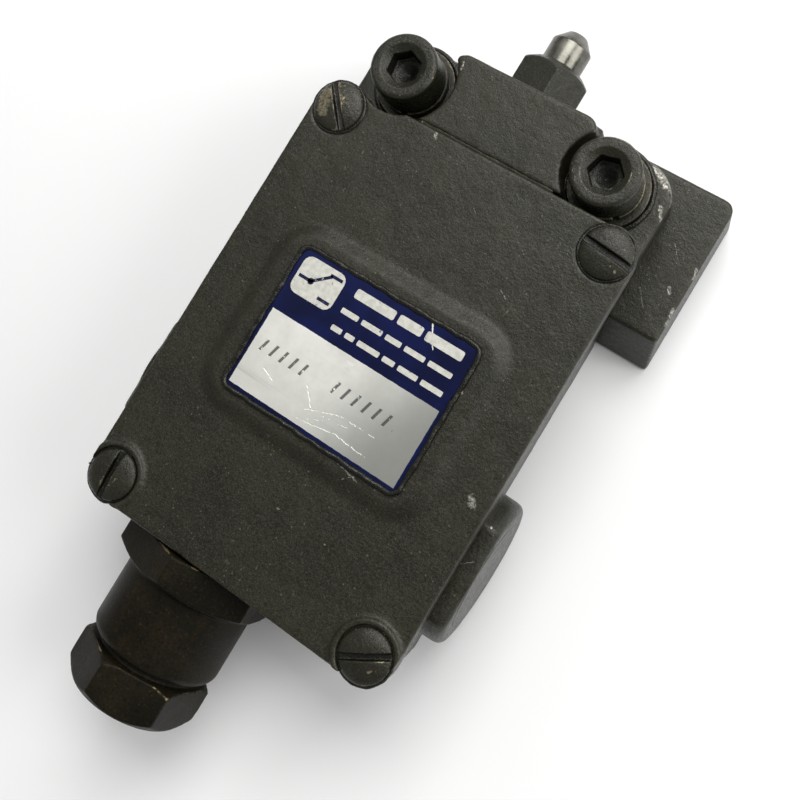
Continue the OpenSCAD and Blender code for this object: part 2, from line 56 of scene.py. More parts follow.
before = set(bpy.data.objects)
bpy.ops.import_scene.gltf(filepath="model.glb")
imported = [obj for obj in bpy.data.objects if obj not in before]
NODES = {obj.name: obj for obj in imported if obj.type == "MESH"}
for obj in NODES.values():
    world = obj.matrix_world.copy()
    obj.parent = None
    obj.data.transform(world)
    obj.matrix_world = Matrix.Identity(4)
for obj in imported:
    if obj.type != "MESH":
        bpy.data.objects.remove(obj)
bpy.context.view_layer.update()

MM = 0.001
CASE = "case"
PLUNGER_BODY = "plunger_unit"
SIDES = (-1, 1)
WELD = 0.002 * MM
TRIANGLE_LIMIT = 190_000
AT_FACE = 0.05 * MM  # how near a point lies to count as on a face
FACE_Z = 36 * MM  # the cover's flat face
BOSS_Y, BOSS_Z = -21 * MM, 19.5 * MM  # axis of the side entries
COVER_HEAD_R = 5 * MM
FIXING_HEAD_R = 6.5 * MM


# ---------------------------------------------------------------- settings


def length_setting(name, description, default, least, most):
    """Length setting, given in millimetres."""
    return FloatProperty(name=name, description=description, default=default * MM, min=least * MM,
                         max=most * MM, unit="LENGTH", precision=5)


def colour_setting(name, description, default):
    return FloatVectorProperty(name=name, description=description, subtype="COLOR", default=default,
                               min=0, max=1)


class SwitchSizes(PropertyGroup):
    """Sizes that the working model leaves open."""

    cast_grain: length_setting("Cast grain", "Mesh pitch of the cast pieces", 0.42, 0.25, 1)
    turned_grain: length_setting("Turned grain", "Mesh pitch of the machined pieces", 0.28, 0.15, 0.6)
    screw_grain: length_setting("Screw grain", "Mesh pitch of the screws and the collar", 0.17, 0.1, 0.4)
    lump_height: length_setting("Lump height", "Height of the soft lumps in the castings", 0.14, 0, 0.4)
    cover_edge: length_setting("Cover edge", "Radius of the cover's outer edge", 1.1, 0.3, 2)
    plate_border: length_setting("Nameplate border", "Width of the printed border", 1.0, 0.3, 2)
    lip_radius: length_setting("Paint lip", "Radius of the enamel round the nameplate", 0.52, 0.1, 1)
    slot_width: length_setting("Screw slot", "Width of the cover screws' slots", 1.25, 0.8, 2)
    socket_flats: length_setting("Socket", "Size across the flats of the fixing screws' sockets", 6, 5, 7)
    seed: IntProperty(name="Seed", description="Seed of everything irregular", default=7, min=0)


class SwitchFinish(PropertyGroup):
    """Colours of the finishes, as linear values."""

    enamel: colour_setting("Enamel", "Dark olive enamel of the case", (0.0150, 0.0148, 0.0090))
    bare_metal: colour_setting("Bare metal", "Cast metal where the enamel has gone", (0.46, 0.45, 0.41))
    plating: colour_setting("Plating", "Yellowed zinc plate under the screws' enamel", (0.36, 0.32, 0.22))
    brass: colour_setting("Dark brass", "Oxidised brass of the cable gland", (0.0080, 0.0066, 0.0032))
    blue: colour_setting("Nameplate blue", "Printed field of the nameplate", (0.0022, 0.0052, 0.045))
    white: colour_setting("Nameplate white", "Printed marks on the nameplate", (0.60, 0.60, 0.56))


# ---------------------------------------------------------------- mesh helpers


def link(piece):
    bpy.context.scene.collection.objects.link(piece)
    return piece


def piece_from(name, points, faces):
    """Object with its own mesh, made of points and faces."""
    mesh = bpy.data.meshes.new(name)
    mesh.from_pydata([tuple(p) for p in points], [], faces)
    mesh.validate()
    return link(bpy.data.objects.new(name, mesh))


def remake(piece, change):
    """Runs change on the piece's mesh as a bmesh."""
    bm = bmesh.new()
    bm.from_mesh(piece.data)
    change(bm)
    bm.to_mesh(piece.data)
    bm.free()
    return piece


def merged_copy(node, name):
    """Closed copy of a working node, with flat faces in one piece."""
    piece = link(bpy.data.objects.new(name, NODES[node].data.copy()))
    piece.data.materials.clear()

    def weld(bm):
        bmesh.ops.remove_doubles(bm, verts=bm.verts, dist=WELD)
        bmesh.ops.dissolve_limit(bm, angle_limit=math.radians(0.5), verts=bm.verts, edges=bm.edges)

    return remake(piece, weld)


def round_edges(piece, chosen, radius, steps=4):
    """Rounds the sharp convex edges that chosen(middle, direction) picks."""
    def bevel(bm):
        edges = [
            e for e in bm.edges
            if len(e.link_faces) == 2 and e.is_convex
            and e.calc_face_angle() > math.radians(40)
            and chosen((e.verts[0].co + e.verts[1].co) / 2, (e.verts[1].co - e.verts[0].co).normalized())
        ]
        bmesh.ops.bevel(bm, geom=edges, offset=radius, segments=steps, profile=0.5,
                        affect="EDGES", clamp_overlap=True)

    return remake(piece, bevel)


def settle(piece):
    """Turns the piece's modifiers into its own plain mesh."""
    seen = piece.evaluated_get(bpy.context.evaluated_depsgraph_get())
    mesh = bpy.data.meshes.new_from_object(seen)
    old = piece.data
    piece.modifiers.clear()
    piece.data = mesh
    bpy.data.meshes.remove(old)
    mesh.name = piece.name
    return piece


def count_triangles(mesh):
    return sum(len(polygon.vertices) - 2 for polygon in mesh.polygons)


def mark_edges(piece, grain, rounds=10):
    """Stores in the attribute edge how far each point stands out (+) or lies back (-)."""
    mesh = piece.data
    count = len(mesh.vertices)
    places = np.empty(count * 3)
    mesh.vertices.foreach_get("co", places)
    places = places.reshape(-1, 3)
    normals = np.empty(count * 3)
    mesh.vertices.foreach_get("normal", normals)
    normals = normals.reshape(-1, 3)
    ends = np.empty(len(mesh.edges) * 2, np.int64)
    mesh.edges.foreach_get("vertices", ends)
    one, other = ends.reshape(-1, 2).T
    degree = np.maximum(np.bincount(ends, minlength=count), 1)
    soft = places
    for _ in range(rounds):
        soft = np.stack([
            (np.bincount(one, soft[other, axis], count) + np.bincount(other, soft[one, axis], count))
            / degree for axis in range(3)
        ], 1)
    height = ((places - soft) * normals).sum(1) / grain
    mark = mesh.attributes.new("edge", "FLOAT", "POINT")
    mark.data.foreach_set("value", height.astype(np.float32))


def soften(piece, grain, rounds, lumps=0.0, lump_size=5 * MM):
    """Gives a piece an even mesh with rounded edges and, on castings, soft lumps."""
    remesh = piece.modifiers.new("grain", "REMESH")
    remesh.mode = "VOXEL"
    remesh.voxel_size = grain
    smooth = piece.modifiers.new("rounding", "SMOOTH")
    smooth.factor = 0.5
    smooth.iterations = rounds
    if lumps:
        clouds = bpy.data.textures.new(piece.name + "_lumps", "CLOUDS")
        clouds.noise_scale = lump_size
        clouds.noise_depth = 3
        displace = piece.modifiers.new("lumps", "DISPLACE")
        displace.texture = clouds
        displace.texture_coords = "LOCAL"
        displace.strength = lumps
        displace.mid_level = 0.62
    settle(piece)
    mark_edges(piece, grain)
    triangles = count_triangles(piece.data)
    if triangles > TRIANGLE_LIMIT:
        thin = piece.modifiers.new("thinning", "DECIMATE")
        thin.ratio = TRIANGLE_LIMIT / triangles
        settle(piece)
    piece.data.shade_smooth()
    return piece


def remark(piece, inside, value=-1.6):
    """Marks the points that inside(point) picks as lying deep, or as standing out; the enamel darkens deep
    points as painted shade and lightens standing ones as painted highlight.
    """
    mark = piece.data.attributes["edge"]
    for point, item in zip(piece.data.vertices, mark.data):
        if inside(point.co):
            item.value = value
    return piece


def turned(name, profile, steps=96):
    """Closed solid of revolution round Z; profile runs from pole to pole as (radius, height)."""
    inner = profile[1:-1]
    points = [(0, 0, profile[0][1])]
    for radius, height in inner:
        points += [
            (radius * math.cos(2 * math.pi * k / steps), radius * math.sin(2 * math.pi * k / steps), height)
            for k in range(steps)
        ]
    points.append((0, 0, profile[-1][1]))
    last = len(points) - 1
    faces = []
    for k in range(steps):
        k2 = (k + 1) % steps
        faces.append((0, 1 + k2, 1 + k))
        faces.append((last, last - steps + k, last - steps + k2))
        for row in range(len(inner) - 1):
            a = 1 + row * steps
            faces.append((a + k, a + k2, a + steps + k2, a + steps + k))
    return piece_from(name, points, faces)


def threaded(profile_r, depth, pitch, low, high, steps=48):
    """Points and faces of a screw thread round Z, closed at both ends."""
    rows = int((high - low) / pitch * 8)
    points = []
    for i in range(rows + 1):
        height = low + (high - low) * i / rows
        fade = min(1, (height - low) / pitch)
        for k in range(steps):
            phase = (height / pitch - k / steps) % 1
            radius = profile_r - depth * abs(2 * phase - 1) - (1 - fade) * depth
            angle = 2 * math.pi * k / steps
            points.append((radius * math.cos(angle), radius * math.sin(angle), height))
    faces = [
        (i * steps + k, i * steps + (k + 1) % steps, (i + 1) * steps + (k + 1) % steps, (i + 1) * steps + k)
        for i in range(rows) for k in range(steps)
    ]
    faces.append(tuple(reversed(range(steps))))
    faces.append(tuple(range(rows * steps, (rows + 1) * steps)))
    return points, faces


def arc(centre_r, centre_z, radius, start, end, steps=6):
    """Points of an arc in a turned profile, by angles in degrees."""
    return [
        (centre_r + radius * math.cos(math.radians(start + (end - start) * k / steps)),
         centre_z + radius * math.sin(math.radians(start + (end - start) * k / steps)))
        for k in range(steps + 1)
    ]


def cut(piece, tool):
    """Takes the tool out of the piece and removes the tool."""
    boolean = piece.modifiers.new("cut", "BOOLEAN")
    boolean.operation = "DIFFERENCE"
    boolean.solver = "EXACT"
    boolean.object = tool
    settle(piece)
    drop(tool)
    return piece


def drop(piece):
    mesh = piece.data
    bpy.data.objects.remove(piece)
    bpy.data.meshes.remove(mesh)


def box_tool(low, high):
    corners = [(x, y, z) for x in (low[0], high[0]) for y in (low[1], high[1]) for z in (low[2], high[2])]
    faces = [(0, 1, 3, 2), (4, 6, 7, 5), (0, 4, 5, 1), (2, 3, 7, 6), (0, 2, 6, 4), (1, 5, 7, 3)]
    return piece_from("tool", corners, faces)


def join(name, pieces):
    """One piece out of several, each keeping its own shape."""
    bm = bmesh.new()
    for part in pieces:
        bm.from_mesh(part.data)
        drop(part)
    mesh = bpy.data.meshes.new(name)
    bm.to_mesh(mesh)
    bm.free()
    return link(bpy.data.objects.new(name, mesh))


def wear(piece, material):
    """Gives the piece its one finish."""
    piece.data.materials.clear()
    piece.data.materials.append(material)
    return piece


def place_on(piece, body, slot, *nodes):
    """Puts a finished piece on its body, in the stead of the working nodes it stands for."""
    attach(piece, body)
    if nodes:
        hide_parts(*nodes)
    return piece


def finished_copy(node, name, grain, rounds, finish, slot, *lumps):
    """Softened and finished copy of a working node, in its stead on the case."""
    piece = soften(merged_copy(node, name), grain, rounds, *lumps)
    return place_on(wear(piece, finish_named(finish)), CASE, slot, node)


def thicken(piece, thickness):
    """Gives a flat piece a thickness below its face."""
    solid = piece.modifiers.new("thickness", "SOLIDIFY")
    solid.thickness = thickness
    solid.offset = -1
    return settle(piece)


# ---------------------------------------------------------------- geometry node trees


def new_tree(name, inputs):
    """Geometry node tree with named inputs; returns it with its input and output nodes."""
    tree = bpy.data.node_groups.new(name, "GeometryNodeTree")
    for label, kind in inputs:
        tree.interface.new_socket(label, in_out="INPUT", socket_type="NodeSocket" + kind)
    tree.interface.new_socket("Geometry", in_out="OUTPUT", socket_type="NodeSocketGeometry")
    return tree, tree.nodes.new("NodeGroupInput"), tree.nodes.new("NodeGroupOutput")


def add_to(tree, kind, inputs=(), **settings):
    node = tree.nodes.new(kind)
    for key, value in settings.items():
        setattr(node, key, value)
    for key, value in dict(inputs).items():
        if isinstance(value, bpy.types.NodeSocket):
            tree.links.new(value, node.inputs[key])
        else:
            node.inputs[key].default_value = value
    return node


def run_tree(piece, tree, values):
    """Runs the tree on the piece with the named values, and keeps the plain result."""
    modifier = piece.modifiers.new(tree.name, "NODES")
    modifier.node_group = tree
    for item in tree.interface.items_tree:
        if item.in_out == "INPUT" and item.name in values:
            modifier[item.identifier] = values[item.name]
    return settle(piece)


def repeat_tree():
    """Sets a master object on points, each turned by its point's own turn."""
    tree, start, end = new_tree("set_on_points", [
        ("Points", "Geometry"), ("Master", "Object"), ("Size Play", "Float"), ("Seed", "Int"),
        ("Finish", "Material"),
    ])
    master = add_to(tree, "GeometryNodeObjectInfo", {"Object": start.outputs["Master"]})
    turn = add_to(tree, "GeometryNodeInputNamedAttribute", {"Name": "turn"}, data_type="FLOAT_VECTOR")
    rotation = add_to(tree, "FunctionNodeEulerToRotation", {0: turn.outputs[0]})
    least = add_to(tree, "ShaderNodeMath", {0: 1.0, 1: start.outputs["Size Play"]}, operation="SUBTRACT")
    size = add_to(tree, "FunctionNodeRandomValue", {
        2: least.outputs[0], 3: 1.0, "Seed": start.outputs["Seed"]}, data_type="FLOAT")
    instances = add_to(tree, "GeometryNodeInstanceOnPoints", {
        "Points": start.outputs["Points"], "Instance": master.outputs["Geometry"],
        "Rotation": rotation.outputs[0], "Scale": size.outputs[1]})
    real = add_to(tree, "GeometryNodeRealizeInstances", {0: instances.outputs[0]})
    finish = add_to(tree, "GeometryNodeSetMaterial", {
        "Geometry": real.outputs[0], "Material": start.outputs["Finish"]})
    tree.links.new(finish.outputs[0], end.inputs[0])
    return tree


def repeated(name, master, places, turns, material, seed, play=0.004):
    """One mesh of the master set at each place, with its turn about Z in degrees."""
    piece = piece_from(name, places, [])
    attribute = piece.data.attributes.new("turn", "FLOAT_VECTOR", "POINT")
    attribute.data.foreach_set("vector", [v for turn in turns for v in (0, 0, math.radians(turn))])
    tree = bpy.data.node_groups.get("set_on_points") or repeat_tree()
    run_tree(piece, tree, {"Master": master, "Size Play": play, "Seed": seed, "Finish": material})
    drop(master)
    return piece


def bead_along(name, line, closed, radius, raggedness, seed, finish):
    """Ragged bead of enamel along a line of points."""
    mesh = bpy.data.meshes.new(name)
    edges = [(k, k + 1) for k in range(len(line) - 1)]
    if closed:
        edges.append((len(line) - 1, 0))
    mesh.from_pydata(line, edges, [])
    bead = link(bpy.data.objects.new(name, mesh))
    tree = bpy.data.node_groups.get("paint_lip") or lip_tree()
    run_tree(bead, tree, {"Radius": radius, "Raggedness": raggedness, "Seed": seed,
                          "Finish": finish_named(finish)})
    bead.data.shade_smooth()
    mark_edges(bead, 0.4 * MM, 3)
    return bead


def lip_tree():
    """Sweeps a ragged bead along a closed line."""
    tree, start, end = new_tree("paint_lip", [
        ("Line", "Geometry"), ("Radius", "Float"), ("Raggedness", "Float"), ("Seed", "Int"),
        ("Finish", "Material"),
    ])
    curve = add_to(tree, "GeometryNodeMeshToCurve", {0: start.outputs["Line"]})
    section = add_to(tree, "GeometryNodeCurvePrimitiveCircle", {
        "Resolution": 10, "Radius": start.outputs["Radius"]}, mode="RADIUS")
    bead = add_to(tree, "GeometryNodeCurveToMesh", {
        "Curve": curve.outputs[0], "Profile Curve": section.outputs[0], "Fill Caps": True})
    wander = add_to(tree, "ShaderNodeTexNoise", {
        "W": start.outputs["Seed"], "Scale": 420.0, "Detail": 4.0}, noise_dimensions="4D")
    middle = add_to(tree, "ShaderNodeVectorMath", {
        0: wander.outputs["Color"], 1: (0.5, 0.5, 0.5)}, operation="SUBTRACT")
    offset = add_to(tree, "ShaderNodeVectorMath", {
        0: middle.outputs[0], "Scale": start.outputs["Raggedness"]}, operation="SCALE")
    moved = add_to(tree, "GeometryNodeSetPosition", {
        "Geometry": bead.outputs[0], "Offset": offset.outputs[0]})
    real = add_to(tree, "GeometryNodeRealizeInstances", {0: moved.outputs[0]})
    finish = add_to(tree, "GeometryNodeSetMaterial", {
        "Geometry": real.outputs[0], "Material": start.outputs["Finish"]})
    tree.links.new(finish.outputs[0], end.inputs[0])
    return tree


# ---------------------------------------------------------------- finishes


class Finish:
    """A material being built; most methods add a node and return its output socket."""

    def __init__(self, name):
        self.material = bpy.data.materials.new(name)
        self.material.use_nodes = True
        self.tree = self.material.node_tree
        self.shader = self.tree.nodes["Principled BSDF"]
        self.place = add_to(self.tree, "ShaderNodeTexCoord").outputs["Object"]

    def add(self, kind, inputs=(), **settings):
        return add_to(self.tree, kind, inputs, **settings)

    def set(self, **values):
        """Sets shader sockets by name, with _ for a space."""
        for key, value in values.items():
            socket = self.shader.inputs[key.replace("_", " ")]
            if isinstance(value, bpy.types.NodeSocket):
                self.tree.links.new(value, socket)
            else:
                socket.default_value = (*value, 1) if len(np.shape(value)) and len(value) == 3 else value
        return self.material

    def noise(self, scale, detail=3.0, roughness=0.5, stretch=None, distortion=0.0):
        place = self.place
        if stretch:
            place = self.add("ShaderNodeMapping", {"Vector": place, "Scale": stretch}).outputs[0]
        return self.add("ShaderNodeTexNoise", {
            "Vector": place, "Scale": scale, "Detail": detail, "Roughness": roughness,
            "Distortion": distortion}).outputs[0]

    def cells(self, scale, output="Distance"):
        return self.add("ShaderNodeTexVoronoi", {"Vector": self.place, "Scale": scale}).outputs[output]

    def axis(self, name):
        return self.add("ShaderNodeSeparateXYZ", {0: self.place}).outputs[name]

    def maths(self, operation, a, b=0.0):
        return self.add("ShaderNodeMath", {0: a, 1: b}, operation=operation).outputs[0]

    def times(self, a, b):
        return self.maths("MULTIPLY", a, b)

    def plus(self, a, b):
        return self.maths("ADD", a, b)

    def less(self, a, b):
        return self.maths("SUBTRACT", a, b)

    def size_of(self, a):
        return self.maths("ABSOLUTE", a)

    def ramp(self, value, low, high, start=0.0, end=1.0):
        return self.add("ShaderNodeMapRange", {
            "Value": value, "From Min": low, "From Max": high, "To Min": start, "To Max": end},
            interpolation_type="SMOOTHSTEP").outputs[0]

    def mix(self, share, a, b):
        a, b = [(*c, 1) if not isinstance(c, bpy.types.NodeSocket) and len(c) == 3 else c for c in (a, b)]
        return self.add("ShaderNodeMix", {0: share, 6: a, 7: b}, data_type="RGBA").outputs[2]

    def blend(self, share, a, b):
        return self.add("ShaderNodeMix", {0: share, 2: a, 3: b}, data_type="FLOAT").outputs[0]

    def bump(self, height, depth, strength=1.0, under=None):
        inputs = {"Height": height, "Distance": depth, "Strength": strength}
        if under:
            inputs["Normal"] = under
        return self.add("ShaderNodeBump", inputs).outputs[0]

    def edge(self):
        return self.add("ShaderNodeAttribute", attribute_name="edge").outputs["Fac"]

    def stroke(self, start, end, width, ragged=0.5 * MM):
        """1 along a scratch from start to end, with a ragged outline, else 0."""
        start, end = Vector(start), Vector(end)
        run = end - start
        shake = self.add("ShaderNodeTexNoise", {"Vector": self.place, "Scale": 1300.0, "Detail": 4.0})
        middle = self.add("ShaderNodeVectorMath", {0: shake.outputs["Color"], 1: (0.5, 0.5, 0.5)},
                          operation="SUBTRACT").outputs[0]
        moved = self.add("ShaderNodeVectorMath", {0: middle, 1: (ragged,) * 3, 2: self.place},
                         operation="MULTIPLY_ADD").outputs[0]
        rel = self.add("ShaderNodeVectorMath", {0: moved, 1: start}, operation="SUBTRACT").outputs[0]
        along = self.add("ShaderNodeVectorMath", {0: rel, 1: run / run.length_squared},
                         operation="DOT_PRODUCT").outputs["Value"]
        along = self.maths("MAXIMUM", self.maths("MINIMUM", along, 1.0), 0.0)
        near = self.add("ShaderNodeVectorMath", {0: run, "Scale": along}, operation="SCALE").outputs[0]
        gap = self.add("ShaderNodeVectorMath", {0: rel, 1: near}, operation="DISTANCE").outputs["Value"]
        return self.ramp(gap, width * 0.35, width * 0.65, 1.0, 0.0)

    def most(self, *shares):
        """The largest of several shares."""
        share = shares[0]
        for other in shares[1:]:
            share = self.maths("MAXIMUM", share, other)
        return share


def tone(colour, factor):
    return tuple(min(1.0, c * factor) for c in colour)


def enamel(name, colour, bare, edge_at=1.25, edge_width=0.5, chip=0.76, grain=1.0, gloss=0.37, strokes=()):
    """Hammered enamel on metal: rubbed along edges, chipped, dusty and speckled, with painted shade and grime
    in its hollows and painted highlights along its edges.
    """
    f = Finish(name)
    cloud = f.noise(55, 4, 0.6)
    patch = f.noise(240, 5, 0.6)
    grit = f.noise(1500 * grain, 4, 0.7)
    fine = f.noise(3600 * grain, 3, 0.7)
    base = f.mix(f.ramp(cloud, 0.35, 0.68), tone(colour, 0.70), tone(colour, 1.24))
    brown = tuple(c * k for c, k in zip(colour, (1.22, 1.06, 0.74)))
    base = f.mix(f.ramp(f.noise(75, 3, 0.6, distortion=0.6), 0.45, 0.68, 0, 0.4), base, brown)
    base = f.mix(f.ramp(patch, 0.48, 0.72, 0, 0.5), base, tone(colour, 1.55))
    base = f.mix(f.ramp(fine, 0.52, 0.68, 0, 1.0), base, tone(colour, 2.7))
    base = f.mix(f.ramp(fine, 0.48, 0.34, 0, 1.0), base, tone(colour, 0.15))
    base = f.mix(f.ramp(grit, 0.56, 0.74, 0, 0.6), base, tone(colour, 2.6))
    specks = f.times(f.ramp(f.cells(900), 0.06, 0.20, 1, 0), f.ramp(f.noise(260, 2), 0.52, 0.62))
    base = f.mix(f.times(specks, 0.6), base, (0.15, 0.14, 0.11))
    flecks = f.ramp(f.noise(620 * grain, 4, 0.7, stretch=(1, 0.45, 1)), 0.66, 0.74, 0, 0.5)
    base = f.mix(f.times(flecks, f.ramp(f.noise(40, 3), 0.42, 0.62)), base, (0.12, 0.115, 0.09))
    edge = f.edge()
    # painted shade and grime: the enamel darkens where the surface lies back, in creases, pockets, sockets
    # and slots
    hollow_grime_and_shade = f.ramp(edge, -0.2, -1.1)
    base = f.mix(f.times(hollow_grime_and_shade, 0.8), base, tone(colour, 0.22))
    rub = f.plus(edge, f.ramp(f.noise(170, 5, 0.65), 0.25, 0.75, -edge_width, edge_width))
    # painted highlight: lighter enamel along the edges that stand out, which also turn a little glossier
    polish_and_highlight = f.ramp(rub, edge_at - 0.9, edge_at)
    base = f.mix(f.times(polish_and_highlight, 0.6), base, tone(colour, 2.2))
    chips = f.ramp(f.noise(210, 6, 0.7), chip, chip + 0.02)
    scuffs = [f.stroke(*s, ragged=0.5 * MM + 0.9 * s[2]) for s in strokes]
    worn = f.most(f.ramp(rub, edge_at, edge_at + 0.12), chips, *scuffs)
    worn = f.times(worn, f.ramp(f.noise(2600, 3, 0.7), 0.36, 0.58, 0.15, 1.0))
    metal = f.mix(f.ramp(grit, 0.35, 0.7), tone(bare, 0.45), bare)
    rough = f.ramp(grit, 0.3, 0.75, gloss - 0.08, gloss + 0.14)
    rough = f.less(rough, f.times(polish_and_highlight, 0.08))
    lift = f.plus(f.times(grit, 0.65), f.times(fine, 0.35))
    normal = f.bump(patch, 0.26 * MM, 0.9)
    normal = f.bump(lift, 0.15 * MM, 1.0, normal)
    normal = f.bump(worn, -0.05 * MM, 0.7, normal)
    return f.set(Base_Color=f.mix(worn, base, metal), Metallic=f.times(worn, 0.85),
                 Roughness=f.blend(worn, rough, 0.36), Normal=normal, Specular_IOR_Level=0.38)


def worn_brass(name, colour, bright):
    """Brass gone dark brown, with thin bright edges and tool marks round it."""
    f = Finish(name)
    cloud = f.noise(90, 5, 0.65)
    stain = f.noise(160, 4, 0.6, stretch=(1, 0.35, 1))
    grit = f.noise(1800, 3, 0.7)
    base = f.mix(f.ramp(cloud, 0.35, 0.7), tone(colour, 0.7), tone(colour, 1.5))
    base = f.mix(f.ramp(stain, 0.55, 0.72, 0, 0.6), base, (0.020, 0.012, 0.005))
    base = f.mix(f.ramp(grit, 0.56, 0.74, 0, 0.6), base, tone(bright, 0.13))
    base = f.mix(f.ramp(grit, 0.46, 0.34, 0, 0.8), base, tone(colour, 0.2))
    edge = f.edge()
    # painted shade: the brass darkens where the surface lies back
    base = f.mix(f.ramp(edge, -0.2, -1.0, 0, 0.8), base, tone(colour, 0.25))
    rub = f.plus(edge, f.ramp(f.noise(230, 4, 0.6), 0.25, 0.75, -0.5, 0.4))
    worn = f.ramp(rub, 0.70, 1.05, 0, 0.8)
    base = f.mix(worn, base, bright)
    rings = f.noise(60, 2, 0.5, stretch=(0.02, 60, 0.02))
    normal = f.bump(rings, 0.012 * MM, 0.6)
    normal = f.bump(cloud, 0.15 * MM, 0.5, normal)
    normal = f.bump(grit, 0.06 * MM, 0.9, normal)
    return f.set(Base_Color=base, Metallic=f.ramp(worn, 0, 1, 0.05, 0.9),
                 Roughness=f.ramp(cloud, 0.3, 0.7, 0.42, 0.56), Normal=normal, Specular_IOR_Level=0.13)


def ground_steel(name):
    """Bright turned and ground steel, with faint rings, stains and tiny rust dots."""
    f = Finish(name)
    rings = f.noise(40, 3, 0.6, stretch=(0.05, 90, 0.05))
    cloud = f.noise(300, 4, 0.6)
    base = f.mix(f.ramp(cloud, 0.35, 0.7), (0.10, 0.098, 0.086), (0.22, 0.216, 0.195))
    base = f.mix(f.ramp(rings, 0.5, 0.75, 0, 0.45), base, (0.09, 0.087, 0.075))
    spots = f.times(f.ramp(f.cells(900), 0.08, 0.2, 1, 0), f.ramp(f.noise(420), 0.60, 0.68))
    base = f.mix(spots, base, (0.10, 0.075, 0.05))
    stain = f.stroke(*in_metres([((-0.4, 78.7, 22.3), (0.9, 78.6, 22.2), 1.7)])[0])
    base = f.mix(stain, base, (0.035, 0.032, 0.026))
    normal = f.bump(rings, 0.02 * MM, 0.5)
    normal = f.bump(cloud, 0.05 * MM, 0.4, normal)
    return f.set(Base_Color=base, Metallic=1.0, Roughness=f.ramp(cloud, 0.3, 0.7, 0.22, 0.36), Normal=normal)


def plated(name, colour, dull=0.42):
    """Plated or rolled metal with a stained, lightly scratched surface."""
    f = Finish(name)
    cloud = f.noise(260, 5, 0.65)
    scratch = f.noise(700, 2, 0.5, stretch=(1, 0.06, 1))
    base = f.mix(f.ramp(cloud, 0.3, 0.7), tone(colour, 0.62), tone(colour, 1.12))
    base = f.mix(f.ramp(scratch, 0.6, 0.75, 0, 0.4), base, tone(colour, 0.45))
    normal = f.bump(scratch, 0.012 * MM, 0.6, f.bump(cloud, 0.04 * MM, 0.5))
    return f.set(Base_Color=base, Metallic=1.0, Roughness=f.ramp(cloud, 0.3, 0.7, dull - 0.1, dull + 0.1),
                 Normal=normal)


def moulded(name, colour, dull=0.5):
    """Moulded plastic or rubber with a mottled, slightly uneven skin."""
    f = Finish(name)
    cloud = f.noise(320, 4, 0.6)
    grit = f.noise(2400, 3, 0.7)
    base = f.mix(f.ramp(cloud, 0.3, 0.7), tone(colour, 0.75), tone(colour, 1.3))
    base = f.mix(f.ramp(grit, 0.6, 0.8, 0, 0.4), base, tone(colour, 2.2))
    normal = f.bump(grit, 0.02 * MM, 0.7, f.bump(cloud, 0.06 * MM, 0.5))
    return f.set(Base_Color=base, Roughness=f.ramp(cloud, 0.3, 0.7, dull - 0.06, dull + 0.12), Normal=normal)


def finish_named(name):
    """The finish of that name, made when it is first asked for."""
    known = bpy.data.materials.get(name)
    if known:
        return known
    colours = bpy.context.scene.switch_finish
    paint, bare = tuple(colours.enamel), tuple(colours.bare_metal)
    plate, brass = tuple(colours.plating), tuple(colours.brass)
    makers = {
        "cast_enamel": lambda: enamel(name, paint, bare),
        "cover_enamel": lambda: enamel(name, paint, bare, strokes=cover_strokes()),
        # dark enamel for the gaps: real gunk round the washers, painted shade round the cover screws and the
        # nameplate
        "gap_enamel": lambda: enamel(name, tone(paint, 0.4), bare, edge_at=1.6, gloss=0.26),
        "housing_enamel": lambda: enamel(name, paint, bare, strokes=housing_strokes()),
        "bar_enamel": lambda: enamel(name, tone(paint, 0.9), bare, strokes=bar_strokes()),
        "plug_enamel": lambda: enamel(name, paint, bare, chip=0.80),
        "screw_enamel": lambda: enamel(name, tone(paint, 0.75), plate, 0.85, 0.9, 0.70, 1.3, 0.30,
                                       screw_strokes()),
        "cap_enamel": lambda: enamel(name, tone(paint, 0.72), plate, 0.95, 0.5, 0.74, 1.3, 0.30),
        "washer_enamel": lambda: enamel(name, tone(paint, 0.9), tone(plate, 0.6), 0.48, chip=0.66, grain=1.3),
        "collar_enamel": lambda: enamel(name, tone(paint, 0.75), bare, 1.0, 0.4, 0.74, 1.3, 0.28),
        "gland_brass": lambda: worn_brass(name, brass, (0.30, 0.24, 0.13)),
        "ground_steel": lambda: ground_steel(name),
        "zinc": lambda: plated(name, (0.60, 0.58, 0.52)),
        "spring_wire": lambda: plated(name, (0.40, 0.40, 0.40), 0.34),
        "contact_strip": lambda: plated(name, (0.66, 0.50, 0.25), 0.36),
        "black_rubber": lambda: moulded(name, (0.018, 0.018, 0.017), 0.62),
        "brown_phenolic": lambda: moulded(name, (0.055, 0.024, 0.013), 0.38),
    }
    return makers[name]()


def in_metres(strokes):
    """Scuffs given in millimetres as start, end and width."""
    return [(Vector(start) * MM, Vector(end) * MM, width * MM) for start, end, width in strokes]


def cover_strokes():
    return in_metres([
        ((31.4, -8.3, 36), (32.0, -9.0, 35.8), 1.3),
        # painted highlight: this bare streak stands in for a glint on the corner beside the top right screw
        ((33.6, 44.6, 36), (34.4, 42.6, 35.4), 0.6),
        ((7.4, -15.7, 37.3), (12.5, -16.6, 37.2), 0.26),
        ((11.4, -16.2, 37.3), (8.9, -18.4, 37), 0.2),
        ((1.9, -28.6, 36), (2.1, -28.7, 36), 0.4),
        ((12.9, -29.3, 36), (13.0, -29.3, 36), 0.35),
        ((-9.6, 45.4, 36), (-9.3, 44.5, 36), 0.5),
        ((19.6, 8.0, 37.3), (20.6, 6.6, 37.3), 0.3),
        ((16.5, 26.0, 36), (18.2, 25.0, 36), 0.12),
        ((4.2, 36.5, 36), (5.0, 35.8, 36), 0.12),
        ((10.4, 30.2, 36), (11.2, 30.3, 36), 0.14),
    ])


